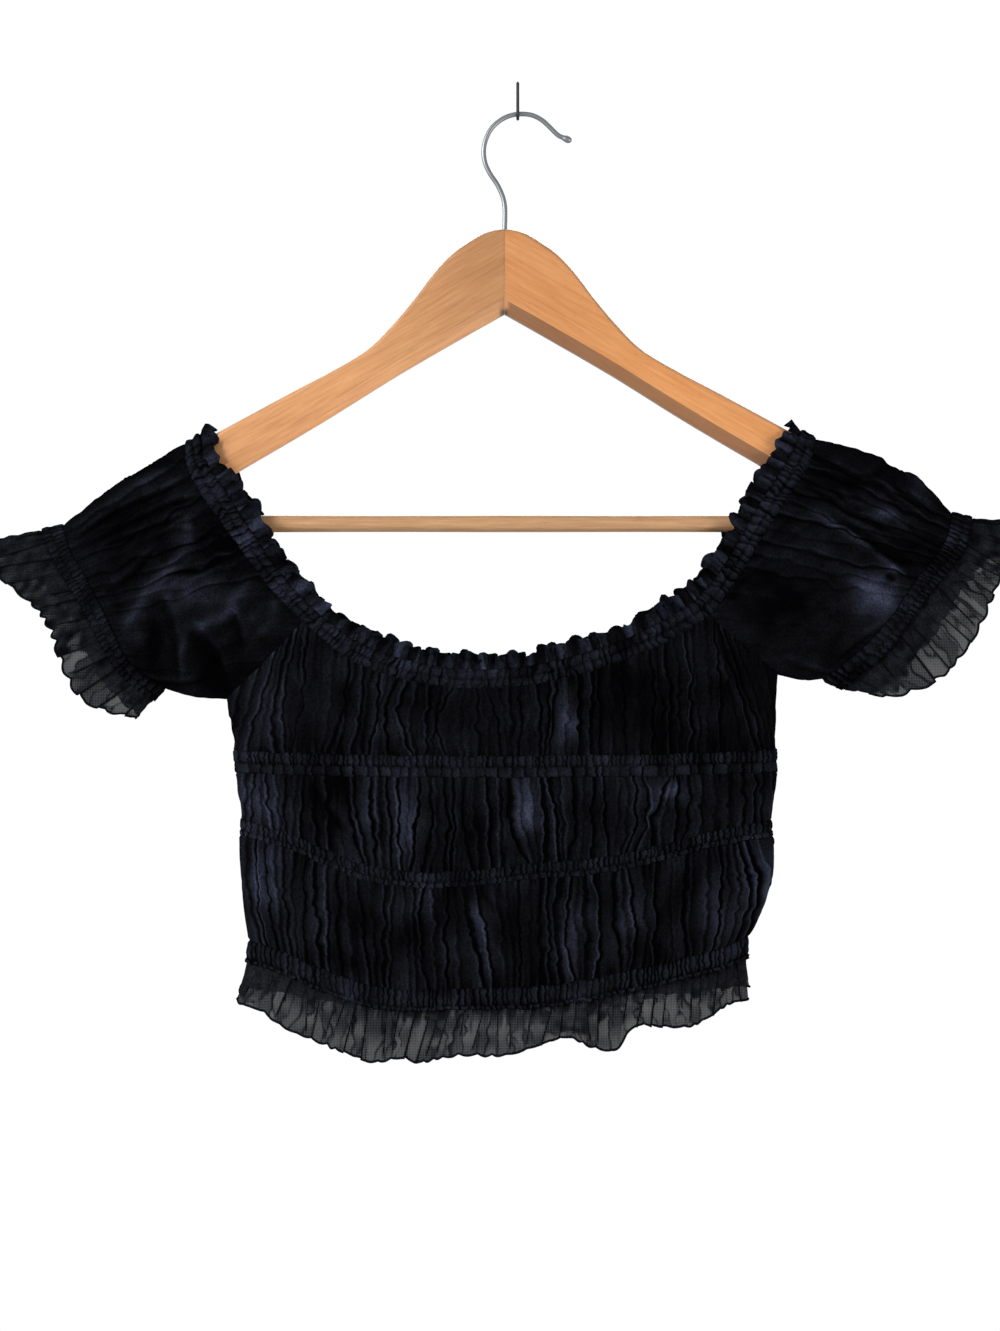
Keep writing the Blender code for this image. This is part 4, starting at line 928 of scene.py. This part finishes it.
def neckCasing(outer, inner, places, dice):
    s = neckSettings
    points, normals, v = clothGrid(outer, inner, s["casingRows"])
    across = np.repeat(places[None, :], len(v), axis=0)
    x, z = points[..., 0], points[..., 2]
    sway = 0.9 * lumps(x, z, 9, dice)
    height, fold = bandHeight(across + sway, v, [(0.0, 1.0, s["channel"])], dice, s["rib"], 0.5)
    stitched = np.exp(-((v - 0.52) / 0.07) ** 2)[:, None] * np.clip(0.7 + 0.5 * lumps(x, z, 14, dice), 0, 1)
    height = height - 0.8 * stitched + 0.4 * lumps(x, z, 7, dice)
    height = height * smoothStep(-0.15, 0.3, v)[:, None] - 0.4 * (1 - smoothStep(0, 0.2, v))[:, None]
    toneScale = np.exp(0.35 * lumps(x, z, 26, dice) - 1.1)
    # darker along the stitched row: painted shade in its groove
    fold = deepen(fold * (1 - 0.6 * stitched) * toneScale, s["casingContrast"])
    made = addMesh("neck_casing_gauze", settle(points, normals, casingLift + height), fold, True,
                   gatheredGauze)
    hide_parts("neck_casing")


# narrow frill, its free edge turned over in small lobes
def neckFrill(tucked, free, places, dice):
    s = neckSettings
    length = places[-1] + places[1]
    points, normals, v = clothGrid(tucked, free, s["frillRows"])
    across = np.repeat(places[None, :], len(v), axis=0)
    table = randomCreases(-2.0, length + 2.0, s["frillPitch"], dice, (0.5, 1.0), 0.3)
    fine, flats, paintedHighlights = packedRidges(across, v, table, dice, 0.3, 3.5, 2.0, s["frillCrisp"])
    pace = np.repeat(dice.uniform(0.35, 2.2, len(places) // 9 + 1), 9)[:len(places)]
    phase = np.cumsum(np.convolve(np.tile(pace, 3), np.ones(5) / 5, "same")[len(places):2 * len(places)])
    waves = 2 * np.pi * phase / phase[-1] * round(length / s["frillPeriod"])
    angle = places / length * 2 * np.pi
    uneven = 1 + 0.3 * np.sin(17 * angle + 1) + 0.25 * np.sin(41 * angle + 4)
    grow = v[:, None] ** 0.8
    lobe = np.abs(np.sin(waves / 2)) * uneven
    sway = (np.sin(waves + 0.6) * uneven)[None, :] * grow
    height = s["frillWave"] * (0.8 + sway) * grow + 0.8 * fine * (1 - 0.6 * grow)
    tangent = unit(np.roll(points, -1, axis=1) - np.roll(points, 1, axis=1))
    rise = unit(points[-1] - points[0])[None]
    curl = -s["frillCurl"] * (np.sin(waves) * uneven)[None, :] * grow
    bob = 1.5 * lobe - 1.0 + 0.5 * np.sin(0.37 * waves + 2) + 0.35 * np.sin(1.63 * waves) * lobe
    ragged = 0.4 * lumps(points[..., 0], points[..., 2], 4, dice)
    lift = s["edgeRise"] * (bob[None, :] + ragged) * grow ** 1.3
    placed = settle(points, normals, height) + tangent * curl[..., None] + rise * lift[..., None]
    # lighter and darker from lobe to lobe; painted light on the lobes' crests, painted shade in the fine
    # creases near the casing, painted highlights beside them
    shade = np.exp(0.7 * np.sin(0.61 * waves) + 0.3 * np.sin(1.37 * waves + 1))
    toneScale = mix(flats, 1.0, 0.55 * grow) * (1 + 0.8 * paintedHighlights * (1 - grow))
    crest = 0.09 + 0.2 * lobe[None, :] ** 2 * grow + 0.13 * (1 - grow)
    fold = deepen(crest * toneScale * shade[None, :], s["frillContrast"])
    made = addMesh("neck_frill_gauze", placed, fold, True, cottonGauze)
    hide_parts("neck_ruffle")


def neckline():
    dice = np.random.default_rng(31)
    casingEdge = neckSettings["casingShare"]
    lines = [neckLine(0.0), neckLine(casingEdge), neckLine(casingEdge - 0.06), neckLine(1.0)]
    (outer, inner, tucked, free), places = resample(lines, neckSettings["columns"])[:2]
    neckCasing(outer, inner, places, dice)
    neckFrill(tucked, free, places, dice)


neckline()
print("neckline made")


# sleeves with their cuffs

# in each dictionary by side, -1 is the left sleeve and 1 the right one
handNames = {-1: "left", 1: "right"}
sleeveSettings = dict(
    arch={-1: 4.5, 1: 9.5}, puff=7.0, sag=3.0,  # mm out over the arm, at the middle and under the sleeve
    height=3.6, lift=-1.0, wander=1.0, warp=1.3,
    ridgeWidth=12.0, sharp=1.9, crisp=1.3, paintedHighlights=1.2, length=75.0,
    tone={-1: 0.1, 1: 0.13}, contrast=1.3,
    cuffRib=1.3, cuffTone=-1.45, cuffContrast=1.35, double=0.7,
    columns=710, rows=64, cuffRows=13, frillRows=22,
    pleatWidth=(2.0, 3.6), pleatLean=4, pleatEnds=[0.4, 0.7, 1.2], pleatPitch=(6, 14),
    uneven=0.14, soft=0.03, wave=2.2, lobes=3.2, shorterBack=0.45,
)
# creases of the sleeves' fronts: share of the way from the arm's top to the armpit at the neck, middle and
# cuff, then depth
sleeveCreases = {
    -1: [(0.0, 0.0, 0.0, 0.4), (0.035, 0.05, 0.06, 0.8), (0.09, 0.12, 0.14, 0.5), (0.16, 0.2, 0.22, 1.0),
         (0.2, 0.25, 0.28, 0.5), (0.27, 0.31, 0.34, 1.0), (0.31, 0.36, 0.4, 0.7), (0.36, 0.42, 0.46, 0.9),
         (0.40, 0.46, 0.52, 0.4), (0.46, 0.5, 0.57, 0.9), (0.53, 0.57, 0.63, 0.3), (0.60, 0.66, 0.72, 0.4),
         (0.70, 0.75, 0.8, 0.35), (0.80, 0.86, 0.87, 0.8), (0.88, 0.93, 0.93, 0.4), (1.0, 1.0, 1.0, 0.3)],
    1: [(0.0, 0.0, 0.0, 0.4), (0.04, 0.05, 0.06, 0.9), (0.09, 0.1, 0.11, 1.0), (0.13, 0.15, 0.17, 0.6),
        (0.18, 0.2, 0.22, 1.0), (0.22, 0.25, 0.26, 0.7), (0.27, 0.29, 0.31, 1.0), (0.33, 0.34, 0.36, 0.5),
        (0.38, 0.41, 0.45, 1.0), (0.43, 0.47, 0.53, 0.5), (0.48, 0.53, 0.58, 1.0), (0.57, 0.64, 0.7, 0.25),
        (0.68, 0.74, 0.8, 0.3), (0.8, 0.85, 0.88, 0.3), (0.9, 0.93, 0.95, 0.6), (1.0, 1.0, 1.0, 0.3)],
}
ringShare = 150.0  # mm of cloth from the arm's top to the armpit
cuffChannels = [(0.0, 0.55, 3.2), (0.55, 1.0, 3.4)]
# down to which share of its height the cuff's ruffle lies double, from the arm's top, 0, to under the
# sleeve, 1
cuffDouble = {-1: ([0.0, 0.1, 0.2, 0.3, 0.62, 0.7, 0.85, 1.0], [1.3, 1.3, 1.0, 1.3, 1.2, 0.3, 0.4, 0.5]),
              1: ([0.0, 0.15, 0.25, 0.45, 0.55, 0.8, 0.9, 1.0], [1.3, 1.3, 0.25, 0.4, 0.3, 0.45, 1.0, 0.5])}


frillSettings = dict(pleatLift=1.1, overlap=0.52, finePitch=2.9, thinPitch=4.2, pinch=0.6, edgeRadius=0.75,
                     doubleLumps=1.8)  # mm, but for overlap


# place, width, lean and length (as a share of the height) of a ruffle's pleats
def pleatRows(start, end, s, dice):
    pleats, place = [], start
    while place < end:
        width, lean = dice.uniform(*s["pleatWidth"]), dice.uniform(-s["pleatLean"], s["pleatLean"])
        pleats.append((place, width, lean, dice.choice(s["pleatEnds"])))
        place += dice.uniform(*s["pleatPitch"])
    return pleats


# above 0 where a ruffle lies double: down to table's share of its height, with an uneven lower edge
def doubleTone(at, table, v, s, dice):
    uneven = np.repeat(dice.uniform(-s["uneven"], s["uneven"], len(at) // 20 + 1), 20)[:len(at)]
    share = (np.interp(at, *table) + uneven)[None, :]
    return s["double"] * (1 - smoothStep(share - s["soft"], share + s["soft"], v[:, None]))


# sheer ruffle: flat between narrow pleats that fold over themselves and open towards the edge; dark is 0 to 1
# where it lies double, lobes how far its edge hangs down between the pleats
def frill(name, node, points, normals, places, v, pleats, waveHeight, closed, dice,
          dark=0, lobes=1.9):
    f = frillSettings
    across = np.repeat(places[None, :], len(v), axis=0)
    grow = v[:, None]
    shift = np.zeros_like(across)
    height = np.zeros_like(across)
    fold = np.zeros_like(across)
    for place, width, lean, short in pleats:
        middle = place + lean * grow
        t = np.clip((across - middle) / width, -1, 1)
        fade = 1 - smoothStep(short, short + 0.35, grow)
        shift -= np.sin(np.pi * t) * width * f["overlap"] * fade
        height += np.cos(np.pi * t / 2) ** 2 * np.sign(np.sin(7 * place)) * f["pleatLift"] * fade
        fold = np.maximum(fold, (1 - smoothStep(0.4, 0.75, np.abs(across - middle) / width)) * fade)
    knots = np.array([p[0] for p in pleats])
    wave = np.interp(places, knots, dice.uniform(-1, 1, len(knots)))
    wave = wave + 0.6 * np.sin(places / 5.2 + 2 * np.sin(places / 17.0))
    height += waveHeight * wave[None, :] * grow ** 1.2
    spans = np.interp(places, knots, np.arange(len(knots)))
    hang = np.sin(np.pi * (spans % 1.0)) * np.interp(places, knots, dice.uniform(0.2, 1.0, len(knots)))
    fineTable = randomCreases(places[0] - 3, places[-1] + 3, f["finePitch"], dice)
    fine = packedRidges(across, v, fineTable, dice, 0.3, 3.5, 2.0)
    height += 0.7 * fine * np.exp(-grow * 4)
    x, z = points[..., 0], points[..., 2]
    panel = dice.choice([0.0, 0.06, 0.14, 0.34], len(knots) + 1, p=[0.4, 0.25, 0.2, 0.15])
    slope = np.interp(places, knots, [p[2] for p in pleats])[None, :] * grow
    cloud = panel[np.searchsorted(knots, across - slope)] + 0.06 * lumps(across, 0.4 * z, 14, dice)
    thin = randomCreases(places[0] - 3, places[-1] + 3, f["thinPitch"], dice, (0.3, 1.0), 1.8)
    pinched = 1 - packedRidges(across + 0.6 * lumps(x, z, 9, dice), v, thin, dice, 0.7, 3.0, 8.0)
    height -= f["pinch"] * pinched
    height += f["doubleLumps"] * lumps(x, z, 9, dice) * dark * grow
    fold = np.maximum(fold, np.maximum(cloud, 1.1 * pinched * (1.1 - 0.4 * grow)))
    double = dark * (0.8 + 0.2 * fine + 0.3 * lumps(x, z, 8, dice))
    fold = np.maximum(np.maximum(fold, 1.3 * np.exp(-grow * 3) * fine), double)
    if closed:
        tangent = unit(np.roll(points, -1, axis=1) - np.roll(points, 1, axis=1))
    else:
        tangent = unit(np.gradient(points, axis=1))
        ends = np.minimum(np.arange(len(places)), np.arange(len(places))[::-1])
        shift *= np.clip(ends / 12, 0, 1)[None, :]
    fall = unit(points[-1] - points[0])[None] * (lobes * hang[None, :] * grow ** 1.5)[..., None]
    tuck(points, height, 1.5, (0,))
    placed = settle(points, normals, height) + tangent * shift[..., None] + fall
    made = addMesh(name, placed, fold, closed, sheerGauze)
    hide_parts(node)
    edge = placed[-1]
    way = tangent[-1]
    out = normals[-1]
    beside = unit(np.cross(way, out))
    turns = np.linspace(0, 2 * np.pi, 6)[:-1]
    ring = np.array([edge + f["edgeRadius"] * (out * math.cos(a) + beside * math.sin(a)) for a in turns])
    roll = addMesh(name + "_edge", ring, np.full((5, len(edge)), 0.6), closed, rolledEdge, tube=True)


# raglan sleeve; ringPlace goes round it from the arm's top, 0, by the front to below, 1, and back to 2
def sleeveCloth(hand, start, inner, ringPlace, dice):
    s = sleeveSettings
    name = handNames[hand]
    points, normals, v = clothGrid(start, inner, s["rows"])
    backTable = randomCreases(1.0, 2.0, 0.06, dice, (0.3, 1.0), 0.012)
    table = sleeveCreases[hand][:-1] + backTable
    table = [(a * ringShare, b * ringShare, c * ringShare, d) for a, b, c, d in table]
    across = np.repeat(ringPlace[None, :] * ringShare, len(v), axis=0)
    x, z = points[..., 0], points[..., 2]
    isFront = (ringPlace <= 1.0)[None, :]
    across = across + s["warp"] * lumps(x, z, 16, dice) * swell(v, 0.5)[:, None]
    ridges, plateaus, paintedHighlights = packedRidges(
        across, v, table, dice, s["wander"], s["ridgeWidth"], s["sharp"], s["crisp"])
    fineTable = randomCreases(-2, 2 * ringShare + 2, 3.0, dice, (0.2, 0.8), 0.8)
    small = packedRidges(across, v, fineTable, dice, 0.4, 3.4, 2.0)
    place = np.minimum(ringPlace, 2 - ringPlace)
    broad = np.where(isFront, softTone(x, z, sleeveAreas[hand]), 0.5 * lumps(x, z, 34, dice))
    single = np.where(isFront, foldRelief(x, z, sleeveFolds[hand]), 0)
    crown = mix(s["arch"][hand], s["puff"], np.minimum(1.0, 2.5 * place))
    crown = mix(crown, s["sag"], np.clip(4 * place - 3, 0, 1))
    fade = mix(0.25, 1.0, np.clip(5 * (1 - place), 0, 1)) * mix(0.75, 1.0, np.clip(12 * place, 0, 1))
    height = crown[None, :] * swell(v, 0.8)[:, None] + s["lift"] * swell(v, 0.5)[:, None]
    packed = np.where(isFront, mix(0.8, 0.35, smoothStep(0.4, 0.6, place)[None, :]), 1.0)
    height += s["height"] * packed * ridges * pucker(v, 0.3)[:, None] * fade[None, :]
    slack = swell(v, 0.35)[:, None] * fade[None, :]
    height += (1.8 * broad + 1.7 * single + 0.5 * lumps(x, z, 9, dice)) * slack
    ends = np.exp(-np.minimum(v, 1 - v) * s["length"] / 5.0)[:, None]
    height += (np.where(isFront, 0.0, 0.2) + 1.1 * ends) * small * fade[None, :]
    # painted shade in the creases with painted highlights beside them, painted light on the swellings and
    # single ridges, painted shade in the hollows, some random tone
    plateaus = 1 - (1 - plateaus) * packed
    crest = np.clip(plateaus, 0, 1.3) * (1 + s["paintedHighlights"] * paintedHighlights * packed) - 0.1
    tone = s["tone"][hand] * np.exp(1.2 * broad + 0.8 * single + 0.16 * lumps(x, z, 14, dice))
    fold = deepen(crest * tone + 0.14 * ends * (small - 0.6), s["contrast"])
    tuck(points, height, 2.6)
    made = addMesh("sleeve_" + name + "_gauze", settle(points, normals, height), fold, True, cottonGauze)
    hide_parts("sleeve_" + name)


def cuffCasing(hand, inner, outer, places, dice):
    s = sleeveSettings
    name = handNames[hand]
    points, normals, v = clothGrid(inner, outer, s["cuffRows"])
    across = np.repeat(places[None, :], len(v), axis=0)
    height, fold = bandHeight(across, v, cuffChannels, dice, s["cuffRib"])
    toneScale = np.exp(0.35 * lumps(points[..., 0], points[..., 2], 22, dice) + s["cuffTone"])
    fold = deepen(fold * toneScale, s["cuffContrast"])
    height[0] = height[-1] = -casingLift - casingSettings["turnedIn"]
    made = addMesh("cuff_casing_" + name + "_gauze", settle(points, normals, casingLift + height), fold, True,
                   gatheredGauze)
    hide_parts("cuff_casing_" + name)


def cuffFrill(hand, outer, free, places, ringPlace, dice):
    s = sleeveSettings
    name = handNames[hand]
    downFront = np.where(ringPlace <= 1, ringPlace, 1.0)
    behind = smoothStep(1.0, 1.15, ringPlace) * (1 - smoothStep(1.8, 2.0, ringPlace))
    free = (mix(free[0], outer[0], s["shorterBack"] * behind[:, None]), free[1])
    points, normals, v = clothGrid(outer, free, s["frillRows"])
    pleats = pleatRows(3.0, places[-1] - 3, s, dice)
    dark = doubleTone(downFront, cuffDouble[hand], v, s, dice)
    frill("cuff_frill_" + name, "cuff_ruffle_" + name, points, normals, places, v, pleats, s["wave"], True,
          dice, dark, s["lobes"])


def sleeve(hand, seed):
    dice = np.random.default_rng(seed)
    startPoints, startNormals, shares = sleeveStart(hand)
    down = np.concatenate([np.zeros(wrapPoints), shares])
    ringPlace = np.concatenate([down, 2 - down[1:-1][::-1]])
    rings = [closeRing(startPoints, startNormals), cuffRing(hand, shares, 0, cuffDepth),
             cuffRing(hand, shares, 1, cuffDepth), cuffRing(hand, shares, 2, cuffFrillDepth)]
    made, places, (ringPlace,) = resample(rings, sleeveSettings["columns"], (ringPlace,))
    start, inner, outer, free = made
    sleeveCloth(hand, start, inner, ringPlace, dice)
    cuffCasing(hand, inner, outer, places, dice)
    cuffFrill(hand, outer, free, places, ringPlace, dice)


sleeve(-1, 41)
sleeve(1, 42)
print("sleeves made")


# hem frills

# x, then the share of its height down to which the front's ruffle lies double there
hemDouble = ([-170, -158, -148, -138, -60, 0, 14, 24, 42, 54, 90, 104, 130],
             [0.95, 0.9, 0.6, 0.18, 0.12, 0.14, 0.5, 0.85, 0.75, 0.35, 0.25, 0.5, 0.55])


hemSettings = dict(
    columns=730, rows=26, wave=2.6, shorterBack=0.3, double=0.55,
    pleatWidth=(1.6, 3.6), pleatLean=5, pleatEnds=[0.4, 0.7, 1.2, 1.2], pleatPitch=(5, 12),
    uneven=0.08, soft=0.04,
)


def hemFrill(side, seed):
    s = hemSettings
    name = "front" if side == front else "back"
    dice = np.random.default_rng(seed)
    turns = evenTurns(s["columns"])
    upper, lower = bodyLine("hemBottom", turns, side), bodyLine("edge", turns, side)
    if side == back:  # falls a little short of the front's
        lower = (mix(lower[0], upper[0], s["shorterBack"]), lower[1])
    points, normals, v = clothGrid(upper, lower, s["rows"])
    steps = np.linalg.norm(np.diff(points[0], axis=0), axis=1)
    places = np.concatenate([[0], np.cumsum(steps)])
    pleats = pleatRows(5.0, places[-1] - 5, s, dice)
    dark = doubleTone(points[0, :, 0], hemDouble, v, s, dice)
    if side == back:
        dark = 0
    frill("hem_frill_" + name, "hem_ruffle_" + name, points, normals, places, v, pleats, s["wave"], False,
          dice, dark)


hemFrill(front, 51)
hemFrill(back, 52)
print("hem frills made")


# hanger

hanger = dict(
    board=14.0, roundTop=3.0, chamferRise=8.0, chamferIn=4.5, stations=90,
    joint={-1: 0.75, 1: 0.86}, under={-1: 0.45, 1: -0.6},  # tone at the joint, then painted light (above 0) and painted shade (below 0) on the chamfer
    notchZ=-137.0,  # painted shade of the notch where the arms meet, at this height
)


# half of the hanger: top edge rounded over, underside chamfered, ends closed
def hangerArm(hand, node, material):
    h = hanger
    half = h["board"] / 2
    near = np.linspace(0, 1, 12)[:-1]  # closer together at the joint
    places = np.concatenate([near, np.linspace(1, len(armRows) - 1, h["stations"])])
    rows = [along(armRows, p) for p in places]
    rings = []
    for reach, top, bottom in rows:
        under = bottom + h["chamferRise"]
        ring = []
        for angle in np.linspace(0, math.pi / 2, 9):
            inwards, down = 1 - math.sin(angle), 1 - math.cos(angle)
            ring.append((half - h["roundTop"] * inwards, top - h["roundTop"] * down))
        ring += [(half, mix(top - h["roundTop"], under, 0.5)), (half, under + 0.3)]
        chamfer = len(ring)
        for share in (0.0, 0.2, 0.4, 0.6, 0.8, 1.0):
            y = mix(half - 0.3, half - h["chamferIn"] + 0.4, share)
            ring.append((y, mix(under - 0.3, bottom + 0.4, share)))
        ring.append((half - h["chamferIn"] - 0.6, bottom))
        ring = ring + [(-y, z) for y, z in ring[::-1]]
        rings.append([(hangerX + hand * reach, y + hangY, z) for y, z in ring])
    points = np.array(rings)
    count = points.shape[1]
    reach = np.abs(points[..., 0] - hangerX)
    tone = mix(h["joint"][hand], 1.0, smoothStep(0, 100, reach))
    # painted shade of the notch where the arms meet, under the mitre
    notchShade = np.exp(-(reach / 2.6) ** 4 - ((points[..., 2] - h["notchZ"]) / 2.8) ** 4)
    seam = np.exp(-(reach / 0.5) ** 2)
    under = np.zeros(points.shape[1])
    under[chamfer:count - chamfer] = 1.0
    # painted light on the left arm's chamfer, painted shade on the right arm's
    tone = tone * (1 + under[None, :] * h["under"][hand] * smoothStep(0, 4, reach))
    made = addMesh(node + "_beech", points, tone * (1 - 0.9 * notchShade) * (1 - 0.15 * seam), True, material)
    mesh = made.data
    faces = [tuple(range(count)), tuple(range(len(rings) * count - count, len(rings) * count))]
    shell = bmesh.new()
    shell.from_mesh(mesh)
    shell.verts.ensure_lookup_table()
    for face in faces:
        shell.faces.new([shell.verts[i] for i in face])
    bmesh.ops.recalc_face_normals(shell, faces=shell.faces)
    shell.to_mesh(mesh)
    shell.free()
    mesh.shade_smooth()
    mesh.set_sharp_from_angle(angle=math.radians(28))
    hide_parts(node)


barRadius = 4.95


def barPiece():  # turned trouser bar between the two arms
    low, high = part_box("hanger_bar")
    centreY, centreZ = (low[1] + high[1]) / 2 / mm, (low[2] + high[2]) / 2 / mm
    rings = []
    for x in np.linspace(low[0] / mm, high[0] / mm, 60):
        radius = barRadius - 0.12 * math.sin(x / 47.0) ** 2  # not quite even
        rings.append([(x, centreY + radius * math.cos(a), centreZ + radius * math.sin(a))
                      for a in np.linspace(0, 2 * math.pi, 33)[:-1]])
    points = np.array(rings)
    made = addMesh("hanger_bar_beech", points, np.ones(points.shape[:2]), True, beechBar)
    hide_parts("hanger_bar")


# round wire along a smooth route, with rounded ends
def wirePiece(name, node, route, radius, material, sizes):
    route = np.array(route)
    way = unit(np.gradient(route, axis=0))
    aside = np.array([0, 1.0, 0]) if abs(way[:, 1]).max() < 0.5 else np.array([1.0, 0, 0])
    side = unit(np.cross(way, aside))
    other = np.cross(way, side)
    size = np.array(sizes)[:, None]  # of the wire's radius
    rings = [route + (side * math.cos(a) + other * math.sin(a)) * radius * size
             for a in np.linspace(0, 2 * math.pi, 25)[:-1]]
    points = np.array(rings).transpose(1, 0, 2)
    made = addMesh(name, points, np.ones(points.shape[:2]), True, material)
    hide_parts(node)


hookRadius, wallHookRadius = 1.4, 0.9
hookRows = [  # x, z from inside the hanger's head to the tip
    (-7.6, -112.0), (-7.6, -98.0), (-7.6, -86.0), (-7.5, -75.5), (-8.6, -68.6), (-11.8, -61.2),
    (-16.4, -54.2), (-19.2, -47.8), (-19.9, -41.0), (-18.6, -34.2), (-15.1, -27.7), (-9.6, -22.9),
    (-3.6, -20.3), (2.4, -19.6), (8.6, -20.4), (14.4, -23.4), (19.2, -27.8), (23.6, -32.0), (28.4, -34.2),
]


def hookPiece():
    places = np.linspace(0, len(hookRows) - 1, 160)
    route = [np.array([x, hangY, z]) for x, z in (along(hookRows, p) for p in places)]
    end = route[-1]
    tip = unit(end - route[-2])
    sizes = [1.0] * (len(route) - 6) + [1.0, 1.08, 1.2, 1.32, 1.4, 1.44]  # swells to the ball at the tip
    for reach, size in ((0.8, 1.44), (1.6, 1.38), (2.3, 1.2), (2.9, 0.85), (3.2, 0.4), (3.3, 0.02)):
        route.append(end + tip * reach)
        sizes.append(size)
    route[0] = route[0] + np.array([0, 0, 0.001])
    wirePiece("hanger_hook_steel", "hanger_hook", route, hookRadius, platedSteel, sizes)


def wallHookPiece():
    bend = 2.8  # radius of the turn that the hanger hangs in
    route = [(0, 0, -z) for z in np.linspace(0, 19, 24)]
    for angle in np.linspace(0, math.pi, 25):
        route.append((0, hangY + bend * math.cos(angle), -19.7 - bend * math.sin(angle)))
    route += [(0, hangY - bend, z) for z in np.linspace(-19.2, -14.5, 8)]
    sizes = [1.0] * (len(route) - 3) + [0.95, 0.8, 0.4]
    sizes[0] = 0.3
    wirePiece("wall_hook_wire", "wall_hook", route, wallHookRadius, darkWire, sizes)


hangerArm(-1, "hanger_arm_left", beechLeftPaintedShade)
hangerArm(1, "hanger_arm_right", beechRightPaintedLight)
barPiece()
hookPiece()
wallHookPiece()
print("hanger made")


# floor, light and camera

studio = dict(floorZ=-0.95, floorHalf=0.75,  # m
              backdrop=1.02, world=0.2, reflected=0.75,  # white seen, cast and mirrored
              window=38.0, lamp=15.0, rear=15.0)  # W

floorMesh = bpy.data.meshes.new("floor")
h, z = studio["floorHalf"], studio["floorZ"]
floorMesh.from_pydata([(-h, -h, z), (h, -h, z), (h, h, z), (-h, h, z)], [], [(0, 1, 2, 3)])
floor = bpy.data.objects.new("floor", floorMesh)
bpy.context.collection.objects.link(floor)
paper = bpy.data.materials.new("pale paper floor")  # matt, so that it only takes soft shadows
paper.use_nodes = True
paperShader = paper.node_tree.nodes["Principled BSDF"]
paperShader.inputs["Base Color"].default_value = linearColour("#f1efec")
paperShader.inputs["Roughness"].default_value = 0.9
floorMesh.materials.append(paper)

world = bpy.data.worlds.new("white studio")
world.use_nodes = True
sky = world.node_tree.nodes["Background"]
sky.inputs["Color"].default_value = (1, 1, 1, 1)
rays = addNode(world.node_tree, "ShaderNodeLightPath")
seen = addNode(world.node_tree, "ShaderNodeMapRange",
               {"To Min": studio["world"], "To Max": studio["backdrop"]},
               {"Value": rays.outputs["Is Camera Ray"]})
mirrored = addNode(world.node_tree, "ShaderNodeMapRange", {"To Max": studio["reflected"]},
                   {"Value": rays.outputs["Is Glossy Ray"]})
level = addNode(world.node_tree, "ShaderNodeMath", dict(operation="MAXIMUM"),
                {0: seen.outputs["Result"], 1: mirrored.outputs["Result"]})
world.node_tree.links.new(level.outputs[0], sky.inputs["Strength"])
bpy.context.scene.world = world


def softLight(name, place, aim, size, power, colour):
    data = bpy.data.lights.new(name, "AREA")
    data.shape = "RECTANGLE"
    data.size, data.size_y = size
    data.energy = power
    data.color = colour
    lamp = bpy.data.objects.new(name, data)
    lamp.location = place
    lamp.rotation_euler = (Vector(aim) - Vector(place)).to_track_quat("-Z", "Y").to_euler()
    bpy.context.collection.objects.link(lamp)


softLight("window", (-1.35, -0.95, 0.3), (-0.02, 0, -0.4), (0.6, 0.8), studio["window"], (0.93, 0.96, 1.0))
softLight("lamp", (1.25, -1.15, -0.75), (0.0, 0, -0.33), (0.6, 0.8), studio["lamp"], (1.0, 0.97, 0.94))
softLight("rear", (0.0, 1.5, 0.35), (0.0, 0, -0.35), (0.9, 0.9), studio["rear"], (1.0, 0.98, 0.96))

# straight on from the front: its place, and the height that the picture's frame has in the plane of the cloth
camera = dict(distance=1400.0, x=-10.4, z=-342.2, frameHeight=772.0, planeY=-12.0)  # mm

lens = bpy.data.cameras.new("camera")
lens.lens = 36 * camera["distance"] / camera["frameHeight"]
lens.sensor_width = 36
view = bpy.data.objects.new("camera", lens)
view.location = (camera["x"] * mm, (hangY + camera["planeY"] - camera["distance"]) * mm, camera["z"] * mm)
view.rotation_euler = (math.pi / 2, 0, 0)
bpy.context.collection.objects.link(view)
bpy.context.scene.camera = view
bpy.context.scene.view_settings.view_transform = "Standard"
print("studio made")
